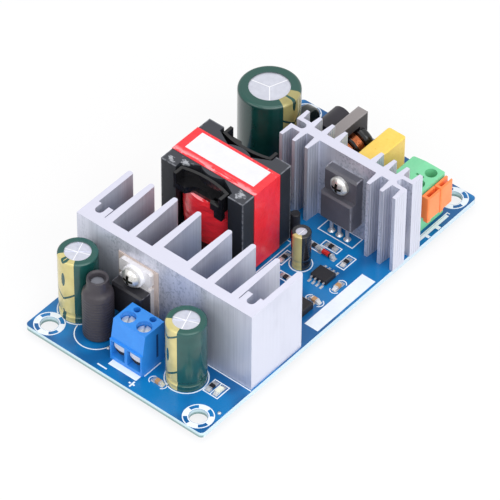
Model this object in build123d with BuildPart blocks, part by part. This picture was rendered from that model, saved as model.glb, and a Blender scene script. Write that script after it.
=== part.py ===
from build123d import *
import os
from math import cos, pi, radians, sin

os.makedirs("parts", exist_ok=True)

# An open mains power supply module on one circuit board: the mains side at +X, the
# low-voltage output at -X, the long edge with the small parts at -Y. Millimetres, +Z up.
# The origin is under the middle of the board, at the tips of the soldered leads.

# Circuit board
board_length = 107.0
board_width = 57.0
board_thickness = 1.6
board_corner_radius = 1.2
mount_inset_x = 4.0
mount_inset_y = 4.5
mount_hole_radius = 2.35
lead_drop = 2.0
lead_hole_clearance = 0.15
solder_flare = 0.55
solder_tip_flare = 0.1
fit_gap = 0.06

board_top = lead_drop + board_thickness
output_end = -board_length / 2
mains_end = board_length / 2

# Output heatsink, an extrusion that stands behind the output end with its fins towards +X
output_sink_front = output_end + 18.8
output_sink_y = -0.3
output_sink_length = 55.6
output_sink_height = 25.0
output_sink_depth = 19.4
output_web = 2.95
output_first_fin = 4.9
output_fin_pitch = 7.56
output_fin_root = 2.5
output_fin_tip = 1.45
output_end_fin = 1.6
output_centre_boss_depth = 4.5
output_end_boss_depth = 6.3
output_end_boss_width = 6.4
output_channel_radius = 1.15
output_channel_floor = 3.15
output_channel_inset = 3.7

# Input heatsink, a web along Y with fins on both faces and a forked slot at each end
input_web_x = mains_end - 28.85
input_sink_y = -10.4
input_sink_length = 36.8
input_sink_height = 25.0
input_web = 2.75
input_near_reach = 4.3
input_far_reach = 3.75
input_fin = 0.95
input_fin_root = 1.7
input_fin_pitch = 4.05
input_near_pairs = 3
input_far_pairs = 4
input_end_boss = 4.5
input_end_boss_length = 4.1
input_channel_radius = 1.1
input_channel_depth = 3.7

sink_pin_rise = 6.0

# Output rectifier on the front face of the output heatsink
device_width = 10.0
device_body_height = 9.2
device_tab_height = 15.3
device_tab = 1.3
device_thickness = 4.5
device_lead_pitch = 2.54
device_lead_depth = 2.6
device_lead_width = 0.8
device_shoulder_width = 1.3
device_shoulder_height = 1.6
device_lead_thickness = 0.5
device_hole_radius = 1.85
device_hole_drop = 2.9
rectifier_y = 7.5
rectifier_lift = 5.2
pad_thickness = 0.3
pad_width = 12.6
pad_height = 18.0
bushing_flange_radius = 3.1
bushing_flange = 0.9
screw_radius = 1.4
screw_clearance = 0.1
screw_head_radius = 2.65
screw_head = 2.0
screw_stickout = 1.0
screw_recess = 0.9
screw_recess_width = 0.6

# Switching transistor with a fully moulded stepped body, on the input heatsink
switch_y = -10.45
switch_lift = 4.9
switch_body_height = 15.6
switch_body_thickness = 4.6
switch_top_thickness = 2.7
switch_step_height = 8.7
switch_hole_radius = 1.6
switch_hole_drop = 3.2

# Transformer: a two-part ferrite core round a moulded bobbin, bound with tape
transformer_x = 1.9
transformer_y = 10.9
core_depth = 18.5
core_length = 26.3
core_height = 24.8
core_lift = 0.8
core_yoke = 4.3
core_post_radius = 6.0
core_window_radius = 11.25
core_opening = 16.8
core_waist = 9.8
core_waist_length = 6.8
core_knee = 15.2
core_bulge = 0.3
bobbin_clearance = 0.2
bobbin_wall = 0.8
bobbin_flange = 1.0
bobbin_flange_radius = 10.9
bobbin_ear_reach = 10.9
bobbin_ear_width = 15.4
bobbin_ear_lobe = 3.6
bobbin_ear_dip = 8.4
bobbin_ear_back = 7.9
bobbin_ear_bow = 1.25
bobbin_ear_lift = 1.0
bobbin_rim_height = 3.1
bobbin_rim_wall = 0.9
bobbin_post_width = 2.4
bobbin_post_drop = 2.2
bobbin_notch_length = 3.0
bobbin_notch_width = 0.9
rail_gap = 0.35
rail_depth = 3.6
rail_length = 24.4
rail_slot = 1.1
rail_slot_height = 1.4
transformer_pin_pitch = 3.8
transformer_pin_count = 6
transformer_pin = 0.7
winding_bulge = 0.45
tape_width = 9.8
tape_thickness = 0.15
label_width = 6.6
label_length = 22.0
label_thickness = 0.1
label_offset = 0.7

# Electrolytic capacitors: place, radius, height, lead spacing and vent of each
bulk_x, bulk_y = mains_end - 24.2, 19.8
bulk_radius = 8.1
bulk_height = 26.4
bulk_lead_pitch = 7.5
bulk_lead_radius = 0.4
bulk_vent_radius = 5.35
bulk_sleeve = 0.25
output_cap_places = ((output_end + 12.6, 21.8), (output_end + 12.0, -13.4))
output_cap_radius = 5.1
output_cap_height = 20.0
output_cap_lead_pitch = 5.0
output_cap_lead_radius = 0.3
output_cap_vent_radius = 3.4
output_cap_sleeve = 0.2
small_cap_x, small_cap_y = 6.5, -9.65
small_cap_radius = 2.55
small_cap_height = 11.3
small_cap_lead_pitch = 2.0
small_cap_lead_radius = 0.25
small_cap_vent_radius = 1.45
small_cap_sleeve = 0.15
can_lift = 0.4
bead_height = 2.4
bead_width = 1.6
bead_share = 0.06
can_edge_share = 0.12
vent_score_width = 0.4
vent_score_depth = 0.15

# Output choke: a ferrite rod with a winding in a shrunk sleeve
choke_x, choke_y = output_end + 9.7, 12.9
choke_rod_radius = 2.1
choke_rod_top = 17.2
choke_winding_radius = 3.45
choke_winding_height = 13.2
choke_sleeve_radius = 4.0
choke_sleeve_wall = 0.4
choke_shoulder_height = 13.8
choke_neck_radius = 3.05
choke_neck_start = 15.4
choke_sleeve_top = 19.0
choke_lift = 0.3
choke_lead_pitch = 5.0
choke_lead_radius = 0.4

# Output terminal block: two poles with rising clamps
dc_back = output_end + 13.4
dc_depth = 8.5
dc_ledge_depth = 8.05
dc_top_depth = 7.0
dc_y = -0.1
dc_pitch = 5.08
dc_height = 12.7
dc_ledge_height = 6.9
dc_bore_radius = 1.95
dc_bore_setback = 4.4
dc_screw_seat = 10.0
dc_chamber_top = 9.5
dc_floor = 1.2
dc_window_height = 5.1
dc_chamber_front = 2.3
dc_chamber_rear = 3.3
dc_guide_radius = 1.45
dc_probe_radius = 0.9
dc_probe_depth = 3.0
dc_probe_setback = 1.2
clamp_width = 3.7
clamp_depth = 3.9
clamp_side_wall = 0.45
clamp_top_wall = 0.9
clamp_floor = 0.6
clamp_height = 5.4
clamp_lift = 1.5
clamp_play = 0.25
dc_screw_head_radius = 1.75
dc_screw_head = 1.3
dc_screw_radius = 1.25
dc_screw_running_gap = 0.07
dc_slot_width = 0.5
dc_slot_depth = 0.6
contact_thickness = 0.8
contact_width = 1.6
contact_play = 0.3
dc_pin = 1.0

# Mains terminal block: two poles with a lever each
ac_right = mains_end - 9.4
ac_front = -25.2
ac_pitch = 5.0
ac_poles = 2
ac_side_wall = 0.1
ac_depth = 10.2
ac_height = 13.6
ac_back_height = 13.0
ac_crease_setback = 3.9
ac_entry_radius = 1.6
ac_entry_depth = 5.2
ac_entry_setback = 7.6
ac_probe_slot = 0.6
ac_probe_length = 2.4
ac_probe_depth = 2.0
ac_probe_setback = 6.0
ac_edge_radius = 0.5
ac_pin = 0.9
lever_gap = 0.25
lever_stand_off = 0.3
lever_depth = 2.3
lever_bottom = 5.6
lever_top = 12.9
lever_wall = 0.8
lever_pocket_depth = 2.6
lever_toe_drop = 0.9
lever_toe_width = 1.3
lever_pivot_height = 6.4
lever_hub_radius = 1.1
lever_hub_length = 3.0
lever_hub_clearance = 0.3
lever_neck = 1.0
lever_lip = 0.4
lever_mouth = 1.9

# Mains filter and protection parts
x_cap_x, x_cap_y = mains_end - 11.6, -6.5
x_cap_length = 13.0
x_cap_width = 5.6
x_cap_height = 13.2
x_cap_edge = 0.7
x_cap_lead_pitch = 10.0
x_cap_lead_radius = 0.35
line_choke_x, line_choke_y = mains_end - 14.4, 3.2
line_core_length = 14.6
line_core_width = 3.1
line_core_bar = 3.0
line_core_bottom = 5.0
line_core_top = 16.5
line_bobbin_flange = 0.8
line_bobbin_length = 8.0
line_bobbin_tube = 2.6
line_bobbin_radius = 5.9
line_winding_radius = 5.1
line_pin_pitch = 6.6
line_pin_row = 8.0
line_pin_radius = 0.35
fuse_x, fuse_y = mains_end - 7.5, 12.6
fuse_length = 8.4
fuse_width = 4.9
fuse_height = 8.6
fuse_arch = 1.0
fuse_lead_pitch = 5.0
fuse_lead_radius = 0.3
fuse_lift = 0.4
thermistor_x, thermistor_y = mains_end - 11.5, 18.4
thermistor_radius = 4.5
thermistor_thickness = 3.4
thermistor_lift = 1.5
thermistor_lead_pitch = 5.0
thermistor_lead_radius = 0.4
small_choke_x, small_choke_y = 12.65, -2.7
small_choke_radius = 1.25
small_choke_height = 8.6
small_choke_edge = 0.3
small_choke_lift = 0.4
small_choke_lead_pitch = 1.4
small_choke_lead_radius = 0.25
bridge_x, bridge_y = mains_end - 36.0, 24.0
bridge_length = 6.2
bridge_width = 5.0
bridge_height = 1.4

# Small surface parts
chip_x, chip_y = 6.4, -16.9
chip_body_width = 3.9
chip_body_length = 4.9
chip_body_height = 1.45
chip_stand_off = 0.1
chip_span = 6.2
chip_pitch = 1.27
chip_lead_width = 0.42
chip_lead_thickness = 0.2
chip_lead_count = 4
opto_x, opto_y = -5.8, -19.7
opto_body_width = 4.4
opto_body_length = 4.4
opto_body_height = 2.0
opto_span = 7.0
opto_pitch = 2.54
opto_lead_count = 2
passive_length = 2.0
passive_width = 1.25
resistor_height = 0.55
ceramic_height = 0.85
passive_end = 0.4
diode_x, diode_y = 12.9, -12.8
diode_length = 3.6
diode_radius = 0.75
diode_cap = 0.5
led_x, led_y = output_end + 13.6, -22.45
led_height = 0.8

leads = []


def solder_leads(points, radius, drop=lead_drop):
    """Note leads that pass through the board, for its holes and their solder cones."""
    for x, y in points:
        leads.append((x, y, radius, drop))


def save(piece, name):
    """Label a finished sub-part and write it out."""
    piece.label = name
    export_step(piece, f"parts/{name}.step")


def wall_plane(x, y, z):
    """A sketch plane on a wall that faces -X, with its own +X towards -Y and +Y up."""
    return Plane(origin=(x, y, z), x_dir=(0, -1, 0), z_dir=(-1, 0, 0))


# Output heatsink: fins are spaced from the middle, the end fins close the profile
output_half = output_sink_length / 2
output_fins = [side * (output_first_fin + step * output_fin_pitch)
               for step in range(3) for side in (-1, 1)]
output_channels = [side * (output_half - output_channel_inset) for side in (-1, 1)]

with BuildPart() as output_heatsink:
    with BuildSketch(Plane.XY.offset(board_top)) as output_profile:
        with Locations((output_sink_front, output_sink_y)):
            Rectangle(output_web, output_sink_length, align=(Align.MIN, Align.CENTER))
            Rectangle(output_centre_boss_depth, output_fin_pitch, align=(Align.MIN, Align.CENTER))
        for side in (-1, 1):
            with Locations((output_sink_front, output_sink_y + side * output_half)):
                edge = Align.MIN if side < 0 else Align.MAX
                Rectangle(output_end_boss_depth, output_end_boss_width, align=(Align.MIN, edge))
                Rectangle(output_sink_depth, output_end_fin, align=(Align.MIN, edge))
        for fin in output_fins:
            with BuildLine():
                Polyline(
                    (output_sink_front, output_sink_y + fin - output_fin_root / 2),
                    (output_sink_front + output_sink_depth, output_sink_y + fin - output_fin_tip / 2),
                    (output_sink_front + output_sink_depth, output_sink_y + fin + output_fin_tip / 2),
                    (output_sink_front, output_sink_y + fin + output_fin_root / 2),
                    close=True)
            make_face()
        tips = output_profile.vertices().group_by(Axis.X)[-1]
        fillet(tips, radius=output_fin_tip * 0.45)
        for channel in output_channels:
            with Locations((output_sink_front + output_channel_floor + output_channel_radius,
                            output_sink_y + channel)):
                Circle(output_channel_radius, mode=Mode.SUBTRACT)
                Rectangle(output_end_boss_depth, 2 * output_channel_radius,
                          align=(Align.MIN, Align.CENTER), mode=Mode.SUBTRACT)
    extrude(amount=output_sink_height)
    rectifier_hole_z = board_top + rectifier_lift + device_tab_height - device_hole_drop
    with Locations(wall_plane(output_sink_front, rectifier_y, rectifier_hole_z)):
        Hole(screw_radius + fit_gap, depth=output_centre_boss_depth)
save(output_heatsink.part, "output_heatsink")

# Input heatsink: fins are spaced from the ends, so the middle bays stay wide for the transistor
input_half = input_sink_length / 2
input_near_face = input_web_x - input_web / 2
input_end_fin = input_half - input_fin / 2
input_pin_y = input_half - input_channel_depth + input_channel_radius

input_fins = [(direction, reach, side * (input_end_fin - step * input_fin_pitch))
              for direction, reach, pairs in ((-1, input_near_reach, input_near_pairs),
                                              (1, input_far_reach, input_far_pairs))
              for side in (-1, 1) for step in range(pairs)]

with BuildPart() as input_heatsink:
    with BuildSketch(Plane.XY.offset(board_top)):
        with Locations((input_web_x, input_sink_y)):
            Rectangle(input_web, input_sink_length)
        for direction, reach, fin in input_fins:
            face = input_web_x + direction * input_web / 2
            tip = face + direction * reach
            middle = input_sink_y + fin
            with BuildLine():
                Polyline((face, middle - input_fin_root / 2), (tip, middle - input_fin / 2),
                         (tip, middle + input_fin / 2), (face, middle + input_fin_root / 2),
                         close=True)
            make_face()
        with Locations((input_web_x, input_sink_y)):
            Rectangle(input_web + 2 * max(input_near_reach, input_far_reach), input_sink_length,
                      mode=Mode.INTERSECT)
        for side in (-1, 1):
            boss_y = input_sink_y + side * (input_half - input_end_boss_length / 2)
            with Locations((input_web_x, boss_y)):
                Rectangle(input_end_boss, input_end_boss_length)
            with Locations((input_web_x, input_sink_y + side * input_pin_y)):
                Circle(input_channel_radius, mode=Mode.SUBTRACT)
            with Locations((input_web_x, input_sink_y + side * input_half)):
                Rectangle(2 * input_channel_radius, 2 * (input_half - input_pin_y), mode=Mode.SUBTRACT)
    extrude(amount=input_sink_height)
    switch_hole_z = board_top + switch_lift + switch_body_height - switch_hole_drop
    with Locations(wall_plane(input_near_face, switch_y, switch_hole_z)):
        Hole(screw_radius + fit_gap, depth=input_web)
save(input_heatsink.part, "input_heatsink")

# Solder pins pressed up into the round-bottomed channels of both heatsinks
output_pin_points = [(output_sink_front + output_channel_floor + output_channel_radius,
                      output_sink_y + channel) for channel in output_channels]
input_pin_points = [(input_web_x, input_sink_y + side * input_pin_y) for side in (-1, 1)]
output_pin_radius = output_channel_radius - fit_gap
input_pin_radius = input_channel_radius - fit_gap

with BuildPart() as heatsink_pins:
    with BuildSketch(Plane.XY.offset(lead_drop)):
        with Locations(*output_pin_points):
            Circle(output_pin_radius)
        with Locations(*input_pin_points):
            Circle(input_pin_radius)
    extrude(amount=board_thickness + sink_pin_rise)
save(heatsink_pins.part, "heatsink_pins")
solder_leads(output_pin_points, output_pin_radius)
solder_leads(input_pin_points, input_pin_radius)


def lead_row(x, y, bottom, top):
    """Three flat leads in a row along Y, wider where they leave the moulding."""
    shoulder = top - device_shoulder_height
    points = [(x, y + step * device_lead_pitch) for step in (-1, 0, 1)]
    with BuildPart() as row:
        with BuildSketch(Plane.XY.offset(bottom)):
            with Locations(*points):
                Rectangle(device_lead_thickness, device_lead_width)
        extrude(amount=shoulder - bottom)
        with BuildSketch(Plane.XY.offset(shoulder)):
            with Locations(*points):
                Rectangle(device_lead_thickness, device_shoulder_width)
        extrude(amount=device_shoulder_height)
    solder_leads(points, device_lead_width / 2)
    return row.part


def pan_screw(face_x, y, z, grip):
    """A pan-head screw with a cross recess, driven along +X from the plane face_x."""
    with BuildPart() as screw:
        with BuildSketch(Plane.XZ.offset(-y)) as section:
            with BuildLine():
                Polyline((face_x, z), (face_x - screw_head, z))
                ThreePointArc((face_x - screw_head, z),
                              (face_x - screw_head * 0.85, z + screw_head_radius * 0.6),
                              (face_x - screw_head * 0.4, z + screw_head_radius))
                Polyline((face_x - screw_head * 0.4, z + screw_head_radius),
                         (face_x, z + screw_head_radius),
                         (face_x, z + screw_radius),
                         (face_x + grip, z + screw_radius),
                         (face_x + grip, z),
                         (face_x, z))
            make_face()
        revolve(axis=Axis((face_x, y, z), (1, 0, 0)))
        with BuildSketch(wall_plane(face_x - screw_head, y, z)):
            Rectangle(screw_head_radius * 1.1, screw_recess_width)
            Rectangle(screw_recess_width, screw_head_radius * 1.1)
        extrude(amount=-screw_recess, mode=Mode.SUBTRACT)
    return screw.part


# Output rectifier: insulating pad, metal tab, moulded body, leads, bushing and screw
pad_face = output_sink_front - pad_thickness
tab_face = pad_face - device_tab
rectifier_bottom = board_top + rectifier_lift
bushing_face = tab_face - bushing_flange

with BuildPart() as rectifier_pad:
    with BuildSketch(wall_plane(output_sink_front, rectifier_y, rectifier_hole_z)):
        with Locations((0, device_hole_drop + pad_thickness)):
            Rectangle(pad_width, pad_height, align=(Align.CENTER, Align.MAX))
        Circle(screw_radius + screw_clearance, mode=Mode.SUBTRACT)
    extrude(amount=pad_thickness)
save(rectifier_pad.part, "rectifier_pad")

with BuildPart() as rectifier_tab:
    with BuildSketch(wall_plane(pad_face, rectifier_y, rectifier_bottom)) as tab_outline:
        Rectangle(device_width, device_tab_height, align=(Align.CENTER, Align.MIN))
        chamfer(tab_outline.vertices().group_by(Axis.Z)[-1], length=device_tab / 2)
        for side in (-1, 1):
            with Locations((side * device_width / 2, device_body_height + device_tab)):
                Rectangle(device_tab, device_tab, mode=Mode.SUBTRACT)
        with Locations((0, device_tab_height - device_hole_drop)):
            Circle(device_hole_radius, mode=Mode.SUBTRACT)
    extrude(amount=device_tab)
save(rectifier_tab.part, "rectifier_tab")

with BuildPart() as rectifier_body:
    with BuildSketch(wall_plane(tab_face, rectifier_y, rectifier_bottom)):
        Rectangle(device_width, device_body_height, align=(Align.CENTER, Align.MIN))
    extrude(amount=device_thickness - device_tab)
    chamfer(rectifier_body.faces().sort_by(Axis.X)[0].edges(), length=device_lead_thickness)
save(rectifier_body.part, "rectifier_body")

rectifier_leads = lead_row(pad_face - device_lead_depth, rectifier_y, lead_drop, rectifier_bottom)
save(rectifier_leads, "rectifier_leads")

with BuildPart() as rectifier_bushing:
    with BuildSketch(wall_plane(tab_face, rectifier_y, rectifier_hole_z)):
        Circle(bushing_flange_radius)
    extrude(amount=bushing_flange)
    with BuildSketch(wall_plane(tab_face, rectifier_y, rectifier_hole_z)):
        Circle(device_hole_radius - fit_gap)
    extrude(amount=-device_tab)
    with Locations(wall_plane(bushing_face, rectifier_y, rectifier_hole_z)):
        Hole(screw_radius + fit_gap)
save(rectifier_bushing.part, "rectifier_bushing")

rectifier_grip = output_sink_front - bushing_face + output_web + screw_stickout
rectifier_screw = pan_screw(bushing_face, rectifier_y, rectifier_hole_z, rectifier_grip)
save(rectifier_screw, "rectifier_screw")

# Switching transistor: the moulding is thin at the screw and thick over the die
switch_bottom = board_top + switch_lift
switch_ear_face = input_near_face - switch_top_thickness

with BuildPart() as switch_body:
    with BuildSketch(wall_plane(input_near_face, switch_y, switch_bottom)):
        Rectangle(device_width, switch_body_height, align=(Align.CENTER, Align.MIN))
        with Locations((0, switch_body_height - switch_hole_drop)):
            Circle(switch_hole_radius, mode=Mode.SUBTRACT)
    extrude(amount=switch_top_thickness)
    with BuildSketch(wall_plane(switch_ear_face, switch_y, switch_bottom)):
        Rectangle(device_width, switch_step_height, align=(Align.CENTER, Align.MIN))
    extrude(amount=switch_body_thickness - switch_top_thickness)
    chamfer(switch_body.faces().sort_by(Axis.X)[0].edges(), length=device_lead_thickness)
    chamfer(switch_body.edges().group_by(Axis.Z)[-1].sort_by(Axis.X)[0], length=device_tab / 2)
save(switch_body.part, "switch_body")

switch_leads = lead_row(input_near_face - device_lead_depth, switch_y, lead_drop, switch_bottom)
save(switch_leads, "switch_leads")

switch_grip = switch_top_thickness + input_web + screw_stickout
switch_screw = pan_screw(switch_ear_face, switch_y, switch_hole_z, switch_grip)
save(switch_screw, "switch_screw")

# Transformer core: each half is a yoke with a round post and two outer legs
core_bottom = board_top + core_lift
core_top = core_bottom + core_height
core_middle = core_bottom + core_height / 2


def core_half(outer_z, direction):
    """One core half, its yoke's outer face at outer_z and its legs along direction."""
    with BuildPart() as half:
        with BuildSketch(Plane.XY.offset(outer_z)):
            with Locations((transformer_x, transformer_y)):
                Rectangle(core_depth, core_length)
            for side in (-1, 1):
                with BuildLine():
                    Polyline(
                        (transformer_x + side * core_depth / 2, transformer_y - core_opening / 2),
                        (transformer_x + side * core_knee / 2, transformer_y - core_opening / 2),
                        (transformer_x + side * core_waist / 2, transformer_y - core_waist_length / 2),
                        (transformer_x + side * core_waist / 2, transformer_y + core_waist_length / 2),
                        (transformer_x + side * core_knee / 2, transformer_y + core_opening / 2),
                        (transformer_x + side * core_depth / 2, transformer_y + core_opening / 2),
                        close=True)
                make_face(mode=Mode.SUBTRACT)
            with Locations((transformer_x, transformer_y)):
                Circle(core_post_radius + core_bulge)
        extrude(amount=direction * core_height / 2)
        with BuildSketch(Plane.XY.offset(outer_z + direction * core_yoke)):
            with Locations((transformer_x, transformer_y)):
                Circle(core_window_radius)
                Rectangle(core_depth, core_opening)
                Circle(core_post_radius, mode=Mode.SUBTRACT)
        extrude(amount=direction * (core_height / 2 - core_yoke), mode=Mode.SUBTRACT)
    return half.part


core_lower = core_half(core_bottom, 1)
save(core_lower, "transformer_core_lower")
core_upper = core_half(core_top, -1)
save(core_upper, "transformer_core_upper")

# Bobbin: a tube with two flanges, wire-guide ears above and pin rails below
bobbin_bottom = core_bottom + core_yoke + bobbin_clearance
bobbin_top = core_top - core_yoke - bobbin_clearance
bobbin_bore = core_post_radius + bobbin_clearance
ear_floor = bobbin_top + bobbin_ear_lift
ear_half = bobbin_ear_width / 2
rail_start = core_depth / 2 + rail_gap


def ear_outline(side):
    """The plan of one ear: a bowed back edge towards the core, two lobes and a dip between them."""
    x, y = transformer_x, transformer_y
    with BuildLine() as ear:
        ThreePointArc((x + side * bobbin_ear_back, y + ear_half),
                      (x + side * (bobbin_ear_back - bobbin_ear_bow), y),
                      (x + side * bobbin_ear_back, y - ear_half))
        Polyline((x + side * bobbin_ear_back, y - ear_half),
                 (x + side * bobbin_ear_reach, y - ear_half),
                 (x + side * bobbin_ear_reach, y - ear_half + bobbin_ear_lobe))
        ThreePointArc((x + side * bobbin_ear_reach, y - ear_half + bobbin_ear_lobe),
                      (x + side * bobbin_ear_dip, y),
                      (x + side * bobbin_ear_reach, y + ear_half - bobbin_ear_lobe))
        Polyline((x + side * bobbin_ear_reach, y + ear_half - bobbin_ear_lobe),
                 (x + side * bobbin_ear_reach, y + ear_half),
                 (x + side * bobbin_ear_back, y + ear_half))
    return ear.line


def ear_wall(side):
    """The plan of an ear's bowed wall."""
    x, y = transformer_x, transformer_y
    face = bobbin_ear_back + bobbin_rim_wall
    with BuildLine() as wall:
        ThreePointArc((x + side * bobbin_ear_back, y + ear_half),
                      (x + side * (bobbin_ear_back - bobbin_ear_bow), y),
                      (x + side * bobbin_ear_back, y - ear_half))
        Line((x + side * bobbin_ear_back, y - ear_half), (x + side * face, y - ear_half))
        ThreePointArc((x + side * face, y - ear_half),
                      (x + side * (face - bobbin_ear_bow), y),
                      (x + side * face, y + ear_half))
        Line((x + side * face, y + ear_half), (x + side * bobbin_ear_back, y + ear_half))
    return wall.line


ear_return = bobbin_ear_reach - bobbin_ear_back
post_inner = (bobbin_flange_radius ** 2 - (ear_half - bobbin_post_width) ** 2) ** 0.5
post_depth = bobbin_ear_reach - post_inner

with BuildPart() as bobbin:
    with BuildSketch(Plane.XY.offset(bobbin_bottom)):
        with Locations((transformer_x, transformer_y)):
            Circle(bobbin_bore + bobbin_wall)
    extrude(amount=bobbin_top - bobbin_bottom)
    with BuildSketch(Plane.XY.offset(bobbin_bottom)):
        with Locations((transformer_x, transformer_y)):
            Circle(bobbin_flange_radius)
            Rectangle(2 * (rail_start + rail_depth), bobbin_ear_width)
    extrude(amount=bobbin_flange)
    with BuildSketch(Plane.XY.offset(bobbin_top - bobbin_flange)):
        with Locations((transformer_x, transformer_y)):
            Circle(bobbin_flange_radius)
            Rectangle(core_depth, 2 * bobbin_flange_radius, mode=Mode.INTERSECT)
    extrude(amount=bobbin_flange)
    with BuildSketch(Plane.XY.offset(bobbin_top - bobbin_flange)):
        for side in (-1, 1):
            with BuildLine():
                add(ear_outline(side))
            make_face()
    extrude(amount=bobbin_flange + bobbin_ear_lift)
    with BuildSketch(Plane.XY.offset(ear_floor)):
        for side in (-1, 1):
            with BuildLine():
                add(ear_wall(side))
            make_face()
            with Locations((transformer_x + side * (bobbin_ear_back + ear_return / 2), transformer_y)):
                with GridLocations(0, bobbin_ear_width - bobbin_rim_wall, 1, 2):
                    Rectangle(ear_return, bobbin_rim_wall)
    extrude(amount=bobbin_rim_height)
    with BuildSketch(Plane.XY.offset(bobbin_top)):
        for side in (-1, 1):
            with Locations((transformer_x + side * (post_inner + post_depth / 2),
                            transformer_y + side * (ear_half - bobbin_post_width / 2))):
                Rectangle(post_depth, bobbin_post_width)
    extrude(amount=-(bobbin_flange + bobbin_post_drop))
    with BuildSketch(Plane.XY.offset(ear_floor)):
        for side in (-1, 1):
            with Locations((transformer_x + side * (post_inner - bobbin_notch_width / 2),
                            transformer_y + side * (ear_half - bobbin_post_width))):
                Rectangle(bobbin_notch_width, bobbin_notch_length)
    extrude(amount=-(bobbin_flange + bobbin_ear_lift), mode=Mode.SUBTRACT)
    with BuildSketch(Plane.XY.offset(board_top)):
        for side in (-1, 1):
            with Locations((transformer_x + side * rail_start, transformer_y)):
                edge = Align.MIN if side > 0 else Align.MAX
                Rectangle(rail_depth, rail_length, align=(edge, Align.CENTER))
    extrude(amount=bobbin_bottom - board_top)
    with BuildSketch(Plane.XY.offset(board_top)):
        with Locations((transformer_x, transformer_y)):
            with GridLocations(2 * (rail_start + rail_depth), transformer_pin_pitch,
                               2, transformer_pin_count - 1):
                Rectangle(rail_depth, rail_slot)
    extrude(amount=rail_slot_height, mode=Mode.SUBTRACT)
    with BuildSketch(Plane.XY.offset(bobbin_bottom)):
        with Locations((transformer_x, transformer_y)):
            Circle(bobbin_bore)
    extrude(amount=bobbin_top - bobbin_bottom, mode=Mode.SUBTRACT)
save(bobbin.part, "transformer_bobbin")

transformer_pin_row = 2 * (rail_start + rail_depth / 2)
with BuildPart() as transformer_pins:
    with BuildSketch(Plane.XY.offset(lead_drop)):
        with Locations((transformer_x, transformer_y)):
            with GridLocations(transformer_pin_row, transformer_pin_pitch,
                               2, transformer_pin_count) as transformer_grid:
                Rectangle(transformer_pin, transformer_pin)
    extrude(amount=board_thickness)
save(transformer_pins.part, "transformer_pins")
solder_leads([(x.position.X, x.position.Y) for x in transformer_grid.locations],
             transformer_pin * 0.71)

# Winding: taped copper between the flanges, slightly barrelled
winding_inner = bobbin_bore + bobbin_wall + fit_gap
winding_outer = bobbin_flange_radius - winding_bulge - bobbin_clearance
with BuildPart() as winding:
    with BuildSketch(Plane.XZ.offset(-transformer_y)):
        with BuildLine():
            Polyline((transformer_x + winding_outer, bobbin_bottom + bobbin_flange),
                     (transformer_x + winding_inner, bobbin_bottom + bobbin_flange),
                     (transformer_x + winding_inner, bobbin_top - bobbin_flange),
                     (transformer_x + winding_outer, bobbin_top - bobbin_flange))
            ThreePointArc((transformer_x + winding_outer, bobbin_top - bobbin_flange),
                          (transformer_x + winding_outer + winding_bulge, core_middle),
                          (transformer_x + winding_outer, bobbin_bottom + bobbin_flange))
        make_face()
    revolve(axis=Axis((transformer_x, transformer_y, 0), (0, 0, 1)))
save(winding.part, "transformer_winding")

# Tape: one band round the core, over the top, down both ends and under the yoke
with BuildPart() as core_tape:
    with BuildSketch(Plane.YZ.offset(transformer_x - tape_width / 2)):
        with Locations((transformer_y, core_middle)):
            Rectangle(core_length + 2 * tape_thickness, core_height + 2 * tape_thickness)
            Rectangle(core_length, core_height, mode=Mode.SUBTRACT)
    extrude(amount=tape_width)
save(core_tape.part, "transformer_tape")

with BuildPart() as transformer_label:
    with BuildSketch(Plane.XY.offset(core_top + tape_thickness)):
        with Locations((transformer_x + label_offset, transformer_y)):
            Rectangle(label_width, label_length)
    extrude(amount=label_thickness)
save(transformer_label.part, "transformer_label")


def can_outline(x, radius, bottom, top, edge):
    """Half section of a can: rounded shoulder, straight wall and a rolled bead near its foot."""
    bead = board_top + bead_height
    with BuildLine() as section:
        Polyline((x, bottom), (x + radius, bottom), (x + radius, bead - bead_width / 2))
        ThreePointArc((x + radius, bead - bead_width / 2),
                      (x + radius * (1 - bead_share), bead),
                      (x + radius, bead + bead_width / 2))
        Line((x + radius, bead + bead_width / 2), (x + radius, top - edge))
        ThreePointArc((x + radius, top - edge),
                      (x + radius - edge * (1 - cos(pi / 4)), top - edge * (1 - sin(pi / 4))),
                      (x + radius - edge, top))
        Polyline((x + radius - edge, top), (x, top), (x, bottom))
    return section.line


def electrolytic(name, x, y, radius, height, wall, vent_radius, score_angles):
    """A sealed can with a scored vent, and the printed sleeve shrunk over it."""
    top = board_top + height
    can_radius = radius - wall - fit_gap
    can_top = top - wall - fit_gap
    can_bottom = board_top + can_lift
    edge = radius * can_edge_share
    spin = Axis((x, y, 0), (0, 0, 1))
    with BuildPart() as can:
        with BuildSketch(Plane.XZ.offset(-y)):
            with BuildLine():
                add(can_outline(x, can_radius, can_bottom, can_top, edge - wall))
            make_face()
        revolve(axis=spin)
        with BuildSketch(Plane.XY.offset(can_top)):
            for angle in score_angles:
                with Locations((x + cos(radians(angle)) * vent_radius * 0.45,
                                y + sin(radians(angle)) * vent_radius * 0.45)):
                    Rectangle(vent_radius * 0.9 + vent_score_width, vent_score_width, rotation=angle)
        extrude(amount=-vent_score_depth, mode=Mode.SUBTRACT)
    save(can.part, f"{name}_can")
    with BuildPart() as sleeve:
        with BuildSketch(Plane.XZ.offset(-y)):
            with BuildLine():
                add(can_outline(x, radius, board_top, top, edge))
            make_face()
        revolve(axis=spin)
        with BuildSketch(Plane.XZ.offset(-y)):
            with BuildLine():
                add(can_outline(x, radius - wall, board_top, top - wall, edge - wall))
            make_face()
        revolve(axis=spin, mode=Mode.SUBTRACT)
        with BuildSketch(Plane.XY.offset(top)):
            with Locations((x, y)):
                Circle(vent_radius)
        extrude(amount=-2 * wall, mode=Mode.SUBTRACT)
    save(sleeve.part, f"{name}_sleeve")


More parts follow.
